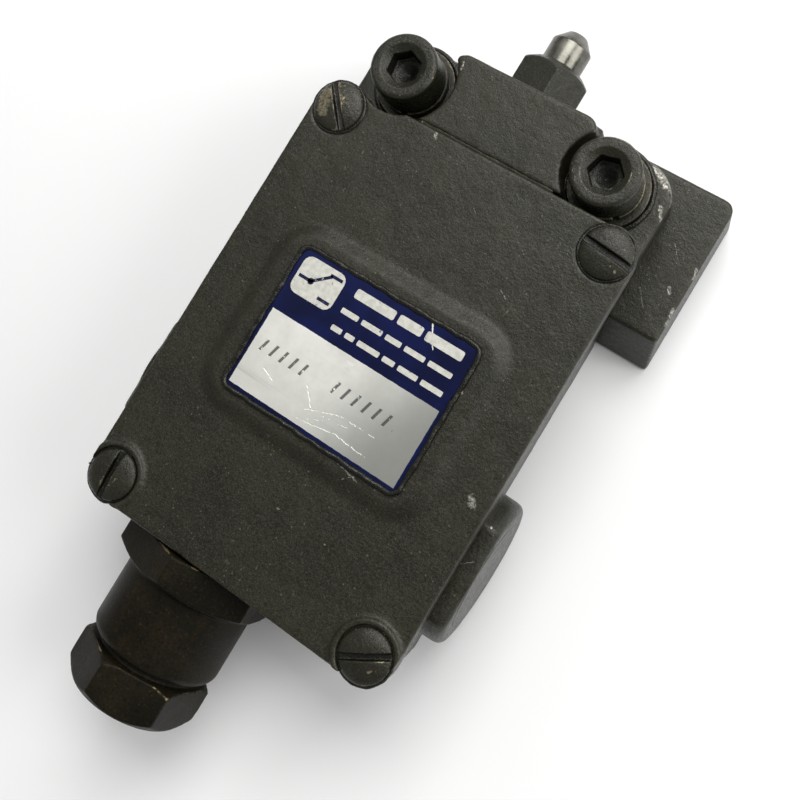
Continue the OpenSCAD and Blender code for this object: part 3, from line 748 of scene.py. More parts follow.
def screw_strokes():
    return in_metres([
        ((-32.8, 42.2, 36.8), (-31.6, 38.9, 37.3), 2.3),
        ((-31.4, 44.0, 37.0), (-30.3, 44.9, 36.8), 0.5),
        ((30.6, 39.4, 37.2), (32.7, 38.7, 36.9), 0.4),
        ((-28.6, -43.6, 37.1), (-27.8, -40.9, 37.5), 0.4),
        ((31.4, -42.6, 37.3), (32.6, -41.7, 37.0), 0.5),
    ])


def housing_strokes():
    return in_metres([
        ((28.0, 61.2, 26), (31.2, 59.6, 26), 2.2),
        ((30.6, 60.4, 25.4), (33.2, 56.6, 24.6), 1.6),
        ((32.2, 55.2, 26), (33.2, 53.0, 25.6), 0.8),
        ((29.6, 47.0, 30.5), (31.8, 46.5, 30.5), 1.3),
        ((36.4, -9.4, 30.8), (36.2, -11.2, 31), 0.55),
        ((37.9, -13.0, 29), (38.1, -13.2, 28), 0.35),
        ((34.6, -19.8, 31), (36.4, -18.2, 31), 0.18),
        ((36.4, -18.2, 31), (38.1, -16.2, 30), 0.18),
        ((-12.8, 60.2, 35), (-12.5, 58.6, 35), 0.4),
    ])


def bar_strokes():
    return in_metres([
        ((42.9, 50.3, 13), (43.2, 48.5, 12.8), 0.8),
        ((43.0, 41.2, 13), (43.2, 38.2, 12.6), 1.1),
        ((39.9, 44.7, 13), (40.4, 43.9, 13), 0.8),
        ((36.5, 53.0, 13), (38.5, 50.5, 13), 0.12),
        ((35.0, 42.0, 13), (37.4, 38.9, 13), 0.12),
    ])


def printed_plate(name):
    """Printed aluminium: a blue field and border round a bare, brushed and scratched field."""
    f = Finish(name)
    colours = bpy.context.scene.switch_finish
    low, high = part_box("nameplate")
    border = bpy.context.scene.switch_sizes.plate_border
    split = low.y + 0.56 * (high.y - low.y)
    x, y = f.axis("X"), f.axis("Y")
    shake = f.ramp(f.noise(900, 3), 0, 1, -0.06 * MM, 0.06 * MM)

    def beyond(value, limit):
        return f.ramp(f.plus(value, shake), limit - 0.04 * MM, limit + 0.04 * MM)

    side = beyond(f.size_of(x), high.x - border)
    ends = beyond(f.size_of(y), high.y - border)
    ink = f.most(side, ends, beyond(y, split))
    marks = f.most(*[f.stroke(*s, ragged=0.6 * MM) for s in in_metres([
        ((-2.9, -10.6, 37.7), (3.5, -8.3, 37.7), 0.26),
        ((3.5, -8.3, 37.7), (10.9, -8.4, 37.7), 0.20),
        ((-3.5, -12.9, 37.7), (4.6, -11.6, 37.7), 0.26),
        ((4.6, -11.6, 37.7), (11.6, -12.2, 37.7), 0.22),
        ((0.4, -10.2, 37.7), (6.2, -9.4, 37.7), 0.16),
        ((-1.6, -12.0, 37.7), (3.0, -9.9, 37.7), 0.14),
        ((9.3, 14.5, 37.7), (11.8, 10.6, 37.7), 0.32),
        ((-14.0, -8.5, 37.7), (-11.2, -9.6, 37.7), 0.22),
        ((-5.0, -6.8, 37.7), (-2.2, -9.9, 37.7), 0.24),
    ])])
    lost = f.most(marks, f.times(f.ramp(f.noise(260, 6, 0.75), 0.70, 0.72),
                                 f.ramp(f.noise(90), 0.42, 0.55)))
    ink = f.times(ink, f.less(1.0, lost))
    tally = f.most(tally_marks(f, x, y, (-17.6, -6.0), -5.0), tally_marks(f, x, y, (-0.6, 13.2), -4.6))
    tally = f.times(tally, f.ramp(f.noise(1100, 3), 0.28, 0.42))
    brushed = f.noise(500, 3, 0.6, stretch=(0.04, 1, 1))
    cloud = f.noise(120, 4, 0.6)
    silver = f.mix(f.ramp(cloud, 0.3, 0.7), (0.76, 0.77, 0.74), (0.92, 0.93, 0.90))
    # painted reflection: the bare field darkens towards +X and -Y, standing in for the light its waves catch
    silver = f.mix(f.ramp(f.less(x, f.times(y, 0.6)), -2 * MM, 22 * MM, 0, 0.85),
                   silver, (0.24, 0.245, 0.235))
    silver = f.mix(f.ramp(brushed, 0.55, 0.75, 0, 0.35), silver, (0.34, 0.35, 0.34))
    silver = f.mix(f.times(marks, 0.7), silver, (0.90, 0.90, 0.88))
    silver = f.mix(f.times(tally, 0.85), silver, (0.07, 0.07, 0.065))
    blue = f.mix(f.ramp(cloud, 0.35, 0.7), tone(tuple(colours.blue), 0.65), tone(tuple(colours.blue), 1.25))
    normal = f.bump(brushed, 0.008 * MM, 0.5)
    normal = f.bump(tally, -0.15 * MM, 0.8, normal)
    normal = f.bump(marks, -0.05 * MM, 0.6, normal)
    normal = f.bump(ink, 0.01 * MM, 0.5, normal)
    return f.set(Base_Color=f.mix(ink, silver, blue), Metallic=f.blend(ink, 0.55, 0.0),
                 Roughness=f.blend(ink, 0.36, 0.30), Normal=normal, Specular_IOR_Level=0.20)


def tally_marks(f, x, y, span, level):
    """A row of short slanting punch marks; printed_plate leaves some out."""
    pitch, width, half_height = 2.3 * MM, 0.56 * MM, 1.25 * MM
    middle, reach = (span[0] + span[1]) / 2 * MM, (span[1] - span[0]) / 2 * MM
    run = f.plus(f.plus(x, f.times(y, -0.28)), 40 * pitch)
    phase = f.size_of(f.less(f.maths("MODULO", run, pitch), pitch / 2))
    bars = f.ramp(phase, width * 0.35, width * 0.6, 1, 0)
    rows = f.ramp(f.size_of(f.less(y, level * MM)), half_height - 0.1 * MM, half_height, 1, 0)
    cols = f.ramp(f.size_of(f.less(x, middle)), reach - 0.1 * MM, reach, 1, 0)
    return f.times(bars, f.times(rows, cols))


def printed(name, ink, under):
    """Printed marks, rubbed thin in places."""
    f = Finish(name)
    thin = f.ramp(f.noise(420, 6, 0.7), 0.60, 0.68, 0, 0.85)
    base = f.mix(f.ramp(f.noise(900, 3), 0.3, 0.7), tone(ink, 0.8), ink)
    return f.set(Base_Color=f.mix(thin, base, tone(under, 1.6)), Roughness=0.42,
                 Normal=f.bump(thin, -0.02 * MM, 0.5), Specular_IOR_Level=0.3)


# ---------------------------------------------------------------- case, bar and cover


class LIMIT_SWITCH_OT_case(Operator):
    """Builds the cast housing and the mounting bar behind its head"""
    bl_idname = "limit_switch.case"
    bl_label = "Case"

    BOSS_RIM_R = 13.6 * MM
    BOSS_FLAT_Z = 30.9 * MM
    BOSS_ROUND = 1.7 * MM
    POCKET_R = 10.2 * MM
    POCKET_ROUND = 1.1 * MM
    HEAD_ROUND = 1.5 * MM
    FILLER_R = 11.4 * MM
    FILLER_BACK = 2 * MM
    FILLER_SINK = 0.16 * MM
    SEAM_ENDS = (-14 * MM, 15 * MM)
    SEAM_POINTS = 60
    SEAM_GAP = 0.5 * MM
    SEAM_Z = 33.5 * MM
    SEAM_R = 1.3 * MM
    SEAM_WANDER = 0.6 * MM

    def execute(self, context):
        sizes = context.scene.switch_sizes
        housing = merged_copy("housing", "housing_casting")
        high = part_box("housing")[1]

        def on_boss_rim(middle, run):
            out = math.hypot(middle.y - BOSS_Y, middle.z - BOSS_Z)
            flat = middle.z > self.BOSS_FLAT_Z and abs(run.z) < 0.1
            return abs(middle.x) > high.x - AT_FACE and (out > self.BOSS_RIM_R or flat)

        def on_head_rim(middle, run):
            straight = middle.y > high.y - AT_FACE or abs(run.y) > 0.9
            return middle.z > high.z - AT_FACE and abs(run.z) < 0.2 and straight

        screw_low, screw_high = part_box("fixing_screws")
        pocket_x, pocket_y = screw_high.x - FIXING_HEAD_R, (screw_low.y + screw_high.y) / 2

        def on_pocket_rim(middle, run):
            out = math.hypot(abs(middle.x) - pocket_x, middle.y - pocket_y)
            return middle.z > high.z - AT_FACE and abs(run.z) < 0.2 and out < self.POCKET_R

        round_edges(housing, on_boss_rim, self.BOSS_ROUND)
        round_edges(housing, on_pocket_rim, self.POCKET_ROUND)
        round_edges(housing, on_head_rim, self.HEAD_ROUND)
        housing = join("housing_casting", [housing] + [self.sink_filler(side, high.x) for side in SIDES])
        soften(housing, sizes.cast_grain, 8, sizes.lump_height)
        wear(housing, finish_named("housing_enamel"))
        place_on(housing, CASE, "painted_case", "housing")
        finished_copy("mounting_bar", "mounting_bar_block", sizes.cast_grain, 4, "bar_enamel", "painted_case",
                      0.5 * sizes.lump_height, 9 * MM)
        self.fill_seams(sizes)
        return {"FINISHED"}

    def sink_filler(self, side, face):
        """Enamel that hides the joint round a flush blanking plug."""
        back, front = face - self.FILLER_BACK, face - self.FILLER_SINK
        disc = turned("filler", [(0, back), (self.FILLER_R, back), (self.FILLER_R, front), (0, front)])
        disc.data.transform(Matrix.Translation((0, BOSS_Y, BOSS_Z))
                            @ Matrix.Rotation(math.radians(90 * side), 4, "Y"))
        return disc

    def fill_seams(self, sizes):
        """Enamel that has run into the joint behind the cover, dark gunk round the washers, and dark rings
        round the cover screws whose darkness is painted shade.
        """
        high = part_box("cover")[1]
        across = np.linspace(*self.SEAM_ENDS, self.SEAM_POINTS)
        seam = [(x, high.y + self.SEAM_GAP, self.SEAM_Z) for x in across]
        beads = [("seam_enamel", seam, "cast_enamel", self.SEAM_R)]

        def ring_bead(name, x, y, radius, z, thickness):
            ring = arc(x, y, radius, 0, 355, 71)
            beads.append((name, [(px, py, z) for px, py in ring], "gap_enamel", thickness))

        low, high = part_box("flat_washers")
        y, reach = (low.y + high.y) / 2, (high.y - low.y) / 2
        for side, name in zip(SIDES, ("left", "right")):
            ring_bead("washer_enamel_" + name, side * (high.x - reach), y, reach + 0.45 * MM,
                      low.z + 0.1 * MM, 0.55 * MM)
        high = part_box("cover_screws")[1]
        x, y = high.x - COVER_HEAD_R, high.y - COVER_HEAD_R
        corners = [(sx * x, sy * y) for sy in SIDES for sx in SIDES]
        # painted shade: rings of dark enamel round the cover screws
        for k, corner in enumerate(corners):
            ring_bead(f"screw_enamel_{k + 1}", *corner, COVER_HEAD_R + 0.12 * MM, FACE_Z - 0.28 * MM,
                      0.4 * MM)
        for name, line, finish, thickness in beads:
            bead = bead_along(name, line, line is not seam, thickness, self.SEAM_WANDER, sizes.seed, finish)
            place_on(bead, CASE, "painted_case")


class LIMIT_SWITCH_OT_cover(Operator):
    """Builds the cast cover with its raised panel"""
    bl_idname = "limit_switch.cover"
    bl_label = "Cover"

    CORNER_R = 5.5 * MM

    def execute(self, context):
        sizes = context.scene.switch_sizes
        cover = merged_copy("cover", "cover_casting")
        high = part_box("cover")[1]

        def on_rim(middle, run):
            past_x = abs(middle.x) - (high.x - self.CORNER_R)
            past_y = abs(middle.y) - (high.y - self.CORNER_R)
            corner = min(past_x, past_y) > 0 and math.hypot(past_x, past_y) > self.CORNER_R - 0.2 * MM
            side = abs(middle.x) > high.x - AT_FACE or abs(middle.y) > high.y - AT_FACE
            return abs(middle.z - FACE_Z) < AT_FACE and abs(run.z) < 0.2 and (side or corner)

        round_edges(cover, on_rim, sizes.cover_edge)
        soften(cover, 0.9 * sizes.cast_grain, 6, sizes.lump_height)
        wear(cover, finish_named("cover_enamel"))
        place_on(cover, CASE, "painted_case", "cover")
        return {"FINISHED"}


# ---------------------------------------------------------------- nameplate


def ring_outline(half_x, half_y, corner, pitch):
    """Even points round a rectangle with rounded corners, centred on the origin."""
    points = []
    centres = [(half_x - corner, half_y - corner, 0), (corner - half_x, half_y - corner, 90),
               (corner - half_x, corner - half_y, 180), (half_x - corner, corner - half_y, 270)]
    for i, (cx, cy, start) in enumerate(centres):
        points += arc(cx, cy, corner, start, start + 90, 5)
        nx, ny, _ = centres[(i + 1) % 4]
        length = math.hypot(nx - cx, ny - cy)
        steps = max(1, round(length / pitch))
        sx, sy = points[-1]
        points += [(sx + (nx - cx) * k / steps, sy + (ny - cy) * k / steps) for k in range(1, steps)]
    return points


def flat_bar(x0, x1, y, height, level):
    """Points of a bar with rounded ends, lying flat."""
    radius = height * 0.22
    return [
        (x, yy, level)
        for x, yy in (
            arc(x1 - radius, y + height / 2 - radius, radius, 0, 90, 4)
            + arc(x0 + radius, y + height / 2 - radius, radius, 90, 180, 4)
            + arc(x0 + radius, y - height / 2 + radius, radius, 180, 270, 4)
            + arc(x1 - radius, y - height / 2 + radius, radius, 270, 360, 4)
        )
    ]


def slanted_bar(start, end, width, level):
    """Points of a straight stroke between two places, lying flat."""
    run = (Vector(end) - Vector(start)).normalized() * width / 2
    side = Vector((-run.y, run.x))
    corners = [Vector(end) + run - side, Vector(end) + run + side, Vector(start) - run + side,
               Vector(start) - run - side]
    return [(c.x, c.y, level) for c in corners]


class LIMIT_SWITCH_OT_nameplate(Operator):
    """Builds the nameplate, its plain print and the enamel lip that stands round it"""
    bl_idname = "limit_switch.nameplate"
    bl_label = "Nameplate"

    CORNER_R = 1.6 * MM
    RIM_PITCH = 0.5 * MM
    RINGS = 30
    BITE = 1.1 * MM  # how far the worn rim is bitten in
    WAVE = 0.06 * MM
    SINK = 0.07 * MM  # of the sheet below the place it may fill
    STROKE = 0.6 * MM
    PRINT_HEIGHT = 0.10 * MM

    # Printed bars, as the height of a row above the plate's middle, its height and its bars' ends, in mm
    ROWS = [
        (12.1, 1.9, [(-6.2, 2.6), (3.4, 8.6), (9.4, 17.4)]),
        (8.1, 1.05, [(-6.9, -3.1), (-2.3, 2.2), (3.0, 6.4), (7.2, 11.6), (12.4, 17.4)]),
        (4.5, 1.05, [(-6.9, -4.6), (-3.8, -1.8), (-1.0, 3.8), (4.6, 7.2), (8.0, 12.2), (13.0, 17.6)]),
    ]
    # White tile and the sign of a change-over contact on it, in mm
    TILE = (-18.3, -8.9, 10.0, 7.6)
    SIGN = [((-17.4, 9.6), (-15.0, 9.6)), ((-15.0, 9.6), (-11.9, 12.2)), ((-11.9, 7.6), (-9.8, 7.6)),
            ((-11.9, 12.5), (-9.8, 12.5))]

    def execute(self, context):
        sizes = context.scene.switch_sizes
        low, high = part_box("nameplate")
        half_x, half_y = (high.x - low.x) / 2, (high.y - low.y) / 2
        rim = ring_outline(half_x, half_y, self.CORNER_R, self.RIM_PITCH)
        self.make_plate(rim, low.z, high.z, sizes.seed)
        self.make_print(high.z + 0.02 * MM)
        self.make_lip(half_x, half_y, low.z + 0.25 * MM, sizes)
        return {"FINISHED"}

    def make_plate(self, rim, bottom, top, seed):
        points, faces = [(0, 0, top)], []
        count = len(rim)
        for ring in range(1, self.RINGS + 1):
            share = ring / self.RINGS
            for x, y in rim:
                bite = 0.0
                if ring == self.RINGS:
                    bite = max(0.0, noise.noise(Vector((x, y, seed * MM)) * 700) - 0.12) * self.BITE
                length = math.hypot(x, y)
                keep = share * (1 - bite / length)
                wave = noise.noise(Vector((x * share, y * share, seed * MM)) * 110) * self.WAVE
                points.append((x * keep, y * keep, top - self.SINK + wave))
        faces += [(0, 1 + k, 1 + (k + 1) % count) for k in range(count)]
        for ring in range(self.RINGS - 1):
            a = 1 + ring * count
            faces += [(a + k, a + count + k, a + count + (k + 1) % count, a + (k + 1) % count)
                      for k in range(count)]
        plate = piece_from("nameplate_sheet", points, faces)
        thicken(plate, top - bottom - 0.12 * MM)
        plate.data.shade_smooth()
        sharpen(plate)
        wear(plate, printed_plate("nameplate_finish"))
        place_on(plate, CASE, "nameplate_face", "nameplate")

    def make_print(self, level):
        colours = bpy.context.scene.switch_finish
        white, blue = tuple(colours.white), tuple(colours.blue)
        x0, x1, y, height = self.TILE
        outlines = [
            flat_bar(a * MM, b * MM, row * MM, tall * MM, level)
            for row, tall, bars in self.ROWS for a, b in bars
        ]
        outlines.append(flat_bar(x0 * MM, x1 * MM, y * MM, height * MM, level))
        self.lay("nameplate_print", outlines, printed("print_white", white, blue))
        level += 0.05 * MM
        outlines = [
            slanted_bar([c * MM for c in start], [c * MM for c in end], self.STROKE, level)
            for start, end in self.SIGN
        ]
        outlines.append([(px, py, level) for px, py in arc(-15 * MM, 9.6 * MM, 0.65 * MM, 0, 345, 22)])
        self.lay("nameplate_sign", outlines, printed("print_blue", blue, white))

    def lay(self, name, outlines, finish):
        """Thin marks with the given outlines."""
        points, faces = [], []
        for outline in outlines:
            start = len(points)
            points += outline
            faces.append(tuple(range(start, len(points))))
        marks = piece_from(name, points, faces)
        place_on(wear(thicken(marks, self.PRINT_HEIGHT), finish), CASE, "nameplate_face")

    def make_lip(self, half_x, half_y, level, sizes):
        line = ring_outline(half_x + 0.15 * MM, half_y + 0.15 * MM, 1.8 * MM, 0.45 * MM)
        # the lip's dark enamel is painted shade of the groove round the plate
        lip = bead_along("nameplate_lip", [(x, y, level) for x, y in line], True, sizes.lip_radius,
                         1.0 * MM, sizes.seed, "gap_enamel")
        place_on(lip, CASE, "painted_case")


def sharpen(piece, degrees=35):
    """Keeps shading crisp across edges sharper than the angle."""
    piece.data.set_sharp_from_angle(angle=math.radians(degrees))


# ---------------------------------------------------------------- screws and washers


class LIMIT_SWITCH_OT_cover_screws(Operator):
    """Builds the four slotted cover screws from one master"""
    bl_idname = "limit_switch.cover_screws"
    bl_label = "Cover Screws"

    HEAD_H = 2.7 * MM
    THREAD_R = 2.46 * MM
    TURNS = (-49, -6, -87, 32)

    def execute(self, context):
        sizes = context.scene.switch_sizes
        low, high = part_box("cover_screws")
        seat = high.z - self.HEAD_H
        head = turned("head", [
            (0, 0), (COVER_HEAD_R - 0.3 * MM, 0),
            *arc(COVER_HEAD_R - 0.3 * MM, 0.3 * MM, 0.3 * MM, -90, 0, 3),
            *[(COVER_HEAD_R * math.cos(a), self.HEAD_H - 1.35 * MM + 1.35 * MM * math.sin(a))
              for a in np.linspace(0, math.radians(84), 14)], (0, self.HEAD_H),
        ])
        half = sizes.slot_width / 2
        cut(head, box_tool((-8 * MM, -half, self.HEAD_H - 1.35 * MM), (8 * MM, half, self.HEAD_H + MM)))
        soften(head, sizes.screw_grain, 4, 0.10 * MM, 1.6 * MM)
        # painted shade: the slot's floor is marked as lying deep, so its enamel is darkened
        remark(head, lambda p: abs(p.y) < half + 0.1 * MM and p.z < self.HEAD_H - 0.7 * MM)
        points, faces = threaded(self.THREAD_R, 0.35 * MM, 0.8 * MM, low.z - seat, 0.2 * MM)
        master = join("cover_screw_master", [head, piece_from("shank", points, faces)])
        reach_x, reach_y = high.x - COVER_HEAD_R, high.y - COVER_HEAD_R
        places = [(sx * reach_x, sy * reach_y, seat) for sy in (1, -1) for sx in SIDES]
        screws = repeated("cover_screw_set", master, places, self.TURNS,
                          finish_named("screw_enamel"), sizes.seed)
        place_on(screws, CASE, "painted_fasteners", "cover_screws")
        return {"FINISHED"}


class LIMIT_SWITCH_OT_fixings(Operator):
    """Builds the two socket-head fixing screws with their spring washers and flat washers"""
    bl_idname = "limit_switch.fixings"
    bl_label = "Fixing Screws"

    ENAMEL = 0.17 * MM
    HEAD_H = 8 * MM
    THREAD_R = 3.96 * MM
    RIM_HIGHLIGHT_AND_WEAR = 0.75
    SOCKET_DEPTH = 4 * MM
    LEAD_DEPTH = 0.9 * MM
    DRILL_R = 2.4 * MM
    DRILL_DEPTH = 5.4 * MM

    def execute(self, context):
        sizes = context.scene.switch_sizes
        low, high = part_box("fixing_screws")
        x, y = high.x - FIXING_HEAD_R, (low.y + high.y) / 2
        seat = high.z - self.HEAD_H
        places = [(side * x, y, 0) for side in SIDES]
        master = self.cap_screw(sizes, low.z, seat)
        self.set_pair("fixing_screw", master, places, (-22, 14), "cap_enamel", sizes)
        low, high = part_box("spring_washers")
        master = self.spring_washer(low.z, high.z, high.x - x, 4.15 * MM)
        soften(master, 0.9 * sizes.screw_grain, 3)
        self.set_pair("spring_washer", master, places, (-75, -48), "washer_enamel", sizes)
        low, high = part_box("flat_washers")
        master = self.flat_washer(low.z, high.z, high.x - x, 4.25 * MM)
        soften(master, 0.9 * sizes.screw_grain, 3, 0.06 * MM, 3 * MM)
        self.set_pair("flat_washer", master, places, (15, 80), "washer_enamel", sizes)
        return {"FINISHED"}

    def set_pair(self, name, master, places, turns, finish, sizes):
        pair = repeated(name + "_set", master, places, turns, finish_named(finish), sizes.seed)
        place_on(pair, CASE, "painted_fasteners", name + "s")

    def cap_screw(self, sizes, bottom, seat):
        top = seat + self.HEAD_H
        radius = FIXING_HEAD_R + self.ENAMEL
        under, over = 0.35 * MM, 0.9 * MM
        head = turned("head", [
            (0, seat), (radius - under, seat), *arc(radius - under, seat + under, under, -90, 0, 3),
            *arc(radius - over, top - over, over, 0, 90, 6), (0, top),
        ])
        corner = sizes.socket_flats / math.sqrt(3)
        floor, lead = top - self.SOCKET_DEPTH, top - self.LEAD_DEPTH
        tools = [
            turned("socket", [(0, floor), (corner, floor), (corner, top + MM), (0, top + MM)], 6),
            turned("lead", [(0, lead), (corner - 0.3 * MM, lead), (corner + 1.3 * MM, top + 0.1 * MM),
                            (0, top + 0.1 * MM)]),
            turned("drill", [(0, top - self.DRILL_DEPTH), (self.DRILL_R, floor + 0.1 * MM),
                             (self.DRILL_R, floor + MM), (0, floor + MM)], 32),
        ]
        for tool in tools:
            cut(head, tool)
        soften(head, sizes.screw_grain, 3, 0.05 * MM, 2 * MM)
        # painted shade: the inside of the socket is marked as lying deep, so its enamel is darkened
        remark(head, lambda p: math.hypot(p.x, p.y) < corner + 0.3 * MM and p.z < top - 1.1 * MM)
        # painted highlight and wear: the outer rim and the socket's rim are marked as standing out, so the
        # enamel is lighter there and rubbed through in places
        for ring in (radius - 0.28 * MM, corner + 1.15 * MM):
            remark(head, lambda p: abs(math.hypot(p.x, p.y) - ring) < 0.15 * MM and p.z > top - 0.55 * MM,
                   self.RIM_HIGHLIGHT_AND_WEAR)
        points, faces = threaded(self.THREAD_R, 0.6 * MM, 1.25 * MM, bottom, seat + 0.2 * MM)
        return join("fixing_screw_master", [head, piece_from("shank", points, faces)])

    def spring_washer(self, low, high, outer, inner):
        """Split ring whose ends stand a little apart."""
        steps, split, rise = 96, 9, 0.25 * MM
        points = []
        for k in range(steps + 1):
            angle = math.radians(split / 2 + (360 - split) * k / steps)
            lift = rise * (k / steps - 0.5)
            bottom, top = low + rise / 2 + lift, high - rise / 2 + lift
            for r, z in ((inner, bottom), (outer, bottom), (outer, top), (inner, top)):
                points.append((r * math.cos(angle), r * math.sin(angle), z))
        faces = [
            (4 * k + j, 4 * k + (j + 1) % 4, 4 * k + 4 + (j + 1) % 4, 4 * k + 4 + j)
            for k in range(steps) for j in range(4)
        ]
        faces += [(3, 2, 1, 0), tuple(4 * steps + j for j in range(4))]
        ring = piece_from("spring_washer_master", points, faces)
        return remake(ring, lambda bm: bmesh.ops.recalc_face_normals(bm, faces=bm.faces))

    def flat_washer(self, low, high, outer, inner):
        disc = turned("flat_washer_master", [(0, low), (outer, low), (outer, high), (0, high)])
        hole = turned("hole", [(0, low - MM), (inner, low - MM), (inner, high + MM), (0, high + MM)])
        return cut(disc, hole)


# ---------------------------------------------------------------- cable entries


class LIMIT_SWITCH_OT_gland(Operator):
    """Builds the turned body and the nut of the cable gland"""
    bl_idname = "limit_switch.gland"
    bl_label = "Cable Gland"

    def execute(self, context):
        grain = context.scene.switch_sizes.turned_grain
        for node in ("gland_body", "gland_nut"):
            finished_copy(node, node + "_turned", grain, 3, "gland_brass", "oxidised_brass",
                          0.05 * MM, 6 * MM)
        return {"FINISHED"}


class LIMIT_SWITCH_OT_plugs(Operator):
    """Builds the blanking plugs of the two side entries"""
    bl_idname = "limit_switch.plugs"
    bl_label = "Blanking Plugs"

    def execute(self, context):
        grain = context.scene.switch_sizes.turned_grain
        for side in ("left", "right"):
            finished_copy("blanking_plug_" + side, "blanking_plug_cap_" + side, grain, 4, "plug_enamel",
                          "painted_case", 0.08 * MM, 4 * MM)
        return {"FINISHED"}


# ---------------------------------------------------------------- plunger


class LIMIT_SWITCH_OT_plunger(Operator):
    """Builds the ground plunger and its hexagon collar"""
    bl_idname = "limit_switch.plunger"
    bl_label = "Plunger"

    BEVEL = 2.5 * MM
    BODY_START = 34.6 * MM
    GROOVE = (30.7 * MM, 28.9 * MM)
    GROOVE_R = 3.8 * MM
    STEM_R = 3 * MM
    NOSE_R = 2 * MM
    STEM_END = 50.8 * MM

    def execute(self, context):
        sizes = context.scene.switch_sizes
        low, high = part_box("plunger")
        tip, nose = high.y, low.y
        radius, level = (high.x - low.x) / 2, (low.z + high.z) / 2
        soft = 0.3 * MM
        face_r = radius - self.BEVEL
        profile = [
            (0, nose), (self.NOSE_R - soft, nose), (self.NOSE_R, nose + soft),
            (self.NOSE_R, tip - self.STEM_END), (self.STEM_R - soft, tip - self.STEM_END),
            (self.STEM_R, tip - self.STEM_END + soft), (self.STEM_R, tip - self.BODY_START),
            (radius - soft, tip - self.BODY_START), (radius, tip - self.BODY_START + soft),
            (radius, tip - self.GROOVE[0]), (self.GROOVE_R, tip - self.GROOVE[0]),
            (self.GROOVE_R, tip - self.GROOVE[1]), (radius, tip - self.GROOVE[1]),
            *arc(radius - 0.5 * MM, tip - self.BEVEL - 0.3 * MM, 0.5 * MM, 0, 38, 4),
            *arc(face_r + 0.1 * MM, tip - 0.45 * MM, 0.45 * MM, 48, 90, 5), (0, tip),
        ]
        plunger = turned("plunger_pin", profile, 128)
        axis = Matrix.Translation((0, 0, level)) @ Matrix.Rotation(math.radians(-90), 4, "X")
        plunger.data.transform(axis)
        plunger.data.shade_smooth()
        sharpen(plunger, 25)
        wear(plunger, finish_named("ground_steel"))
        place_on(plunger, PLUNGER_BODY, "bright_steel", "plunger")
        finished_copy("plunger_guide", "plunger_collar", sizes.screw_grain, 3, "collar_enamel",
                      "painted_case", 0.06 * MM, 2 * MM)
        return {"FINISHED"}


# ---------------------------------------------------------------- inner works


class LIMIT_SWITCH_OT_inner_works(Operator):
    """Gives the contact insert, springs, seals and terminals their finishes"""
    bl_idname = "limit_switch.inner_works"
    bl_label = "Inner Works"

    RING_TRAVEL = 5.5 * MM
    GAP_TRAVEL = 2.5 * MM
    PLAY = 0.1 * MM
    SPRING_SLOT = "spring_steel"

    FINISHES = {
        "black_rubber": ("cover_gasket", "gland_sealing_ring", "gland_seal", "plug_seals", "plunger_wiper"),
        "zinc": ("gland_thrust_ring", "plunger_stop_ring", "contact_cover_screws", "insert_screws",
                 "terminal_clamps", "terminal_screws"),
        "contact_strip": ("contact_bridge", "contacts_nc", "contacts_no", "earth_clamp", "earth_screw"),
        "brown_phenolic": ("contact_carrier", "contact_base", "contact_cover"),
    }

    def execute(self, context):
        for finish, nodes in self.FINISHES.items():
            material = finish_named(finish)
            for node in nodes:
                slots = NODES[node].material_slots
                if not slots:
                    NODES[node].data.materials.append(material)
                for slot in slots:
                    slot.material = material
        seat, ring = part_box("return_spring")[0].y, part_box("plunger_stop_ring")[0].y
        self.closing_spring("return_spring", CASE, seat, ring - self.RING_TRAVEL)
        window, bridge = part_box("contact_spring")[1].y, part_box("contact_bridge")[1].y
        self.closing_spring("contact_spring", PLUNGER_BODY, window, bridge + self.GAP_TRAVEL)
        return {"FINISHED"}

    def closing_spring(self, node, body, fixed, pushed):
        """Finished copy of a spring, set on its body in the stead of its working node; it keeps its shape as
        the plunger goes in.
        """
        low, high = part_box(node)
        free = low.y if abs(high.y - fixed) < WELD else high.y
        pushed += self.PLAY * (1 if fixed > free else -1)
        coil = merged_copy(node, node + "_coil")
        coil.data.shade_smooth()
        wear(coil, finish_named("spring_wire"))
        place_on(coil, body, self.SPRING_SLOT, node)
        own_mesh(coil)


# ---------------------------------------------------------------- stage


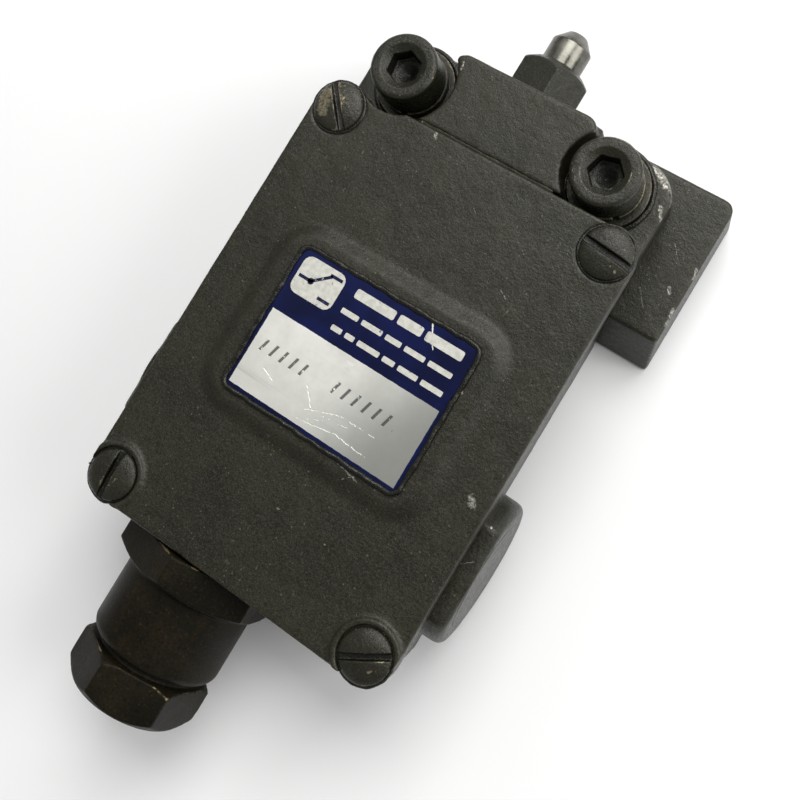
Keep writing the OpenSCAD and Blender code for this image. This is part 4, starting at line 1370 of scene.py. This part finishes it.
class LIMIT_SWITCH_OT_stage(Operator):
    """Sets up the floor, the lights and the camera"""
    bl_idname = "limit_switch.stage"
    bl_label = "Stage"

    FLOOR_HALF = 2.0
    FLOOR_TONES = ((0.90, 0.91, 0.945), (0.93, 0.94, 0.975))
    SKY_COLOUR = (1.0, 0.99, 0.955)
    SKY_STRENGTH = 0.33
    LAMP_COLOUR = (1.0, 0.985, 0.945)
    CAMERA_PLACE = (0.058513, 0.012106, 0.214230)
    CAMERA_TURN = (10.113, 11.937, 31.889)
    CAMERA_LENS = 45.907
    CAMERA_SHIFT = (-0.0625, -0.125)
    # Name, place, size and power of each soft light
    LIGHTS = [
        ("soft_left", (-0.42, 0.20, 0.62), 0.40, 0.4),
        ("soft_right", (0.62, 0.30, 0.46), 0.44, 3.0),
        ("soft_top", (0.02, 0.46, 0.60), 0.46, 4.6),
    ]

    def execute(self, context):
        scene = context.scene
        half = self.FLOOR_HALF
        floor = piece_from("floor", [(-half, -half, 0), (half, -half, 0), (half, half, 0), (-half, half, 0)],
                           [(0, 1, 2, 3)])
        f = Finish("floor_paper")
        paper = f.mix(f.ramp(f.noise(3), 0.3, 0.7), *self.FLOOR_TONES)
        wear(floor, f.set(Base_Color=paper, Roughness=0.8))
        world = bpy.data.worlds.new("studio")
        world.use_nodes = True
        sky = world.node_tree.nodes["Background"]
        sky.inputs["Color"].default_value = (*self.SKY_COLOUR, 1)
        sky.inputs["Strength"].default_value = self.SKY_STRENGTH
        scene.world = world
        middle = Vector((0, 0, 0.02))
        for name, place, size, power in self.LIGHTS:
            lamp = bpy.data.lights.new(name, "AREA")
            lamp.energy = power
            lamp.size = size
            lamp.color = self.LAMP_COLOUR
            light = link(bpy.data.objects.new(name, lamp))
            light.location = place
            light.rotation_euler = (middle - Vector(place)).to_track_quat("-Z", "Y").to_euler()
        camera = bpy.data.cameras.new("camera")
        camera.lens = self.CAMERA_LENS
        camera.shift_x, camera.shift_y = self.CAMERA_SHIFT
        camera.clip_start = 0.005
        view = link(bpy.data.objects.new("camera", camera))
        view.location = self.CAMERA_PLACE
        view.rotation_euler = [math.radians(a) for a in self.CAMERA_TURN]
        scene.camera = view
        scene.view_settings.view_transform = "Standard"
        return {"FINISHED"}


# ---------------------------------------------------------------- add-on


STEPS = (
    LIMIT_SWITCH_OT_stage,
    LIMIT_SWITCH_OT_case,
    LIMIT_SWITCH_OT_cover,
    LIMIT_SWITCH_OT_nameplate,
    LIMIT_SWITCH_OT_cover_screws,
    LIMIT_SWITCH_OT_fixings,
    LIMIT_SWITCH_OT_gland,
    LIMIT_SWITCH_OT_plugs,
    LIMIT_SWITCH_OT_plunger,
    LIMIT_SWITCH_OT_inner_works,
)


class LIMIT_SWITCH_PT_build(Panel):
    """Lists the steps that build the limit switch"""
    bl_idname = "LIMIT_SWITCH_PT_build"
    bl_label = "Limit Switch"
    bl_space_type = "VIEW_3D"
    bl_region_type = "UI"
    bl_category = "Limit Switch"

    def draw(self, context):
        column = self.layout.column(align=True)
        for step in STEPS:
            column.operator(step.bl_idname)
        for group in (context.scene.switch_sizes, context.scene.switch_finish):
            for key in group.__annotations__:
                self.layout.prop(group, key)


CLASSES = (SwitchSizes, SwitchFinish, *STEPS, LIMIT_SWITCH_PT_build)


def register():
    for cls in CLASSES:
        bpy.utils.register_class(cls)
    bpy.types.Scene.switch_sizes = PointerProperty(type=SwitchSizes)
    bpy.types.Scene.switch_finish = PointerProperty(type=SwitchFinish)


def unregister():
    del bpy.types.Scene.switch_finish
    del bpy.types.Scene.switch_sizes
    for cls in reversed(CLASSES):
        bpy.utils.unregister_class(cls)


def main():
    register()
    for step in STEPS:
        area, name = step.bl_idname.split(".")
        getattr(getattr(bpy.ops, area), name)()


if __name__ == "__main__":
    main()
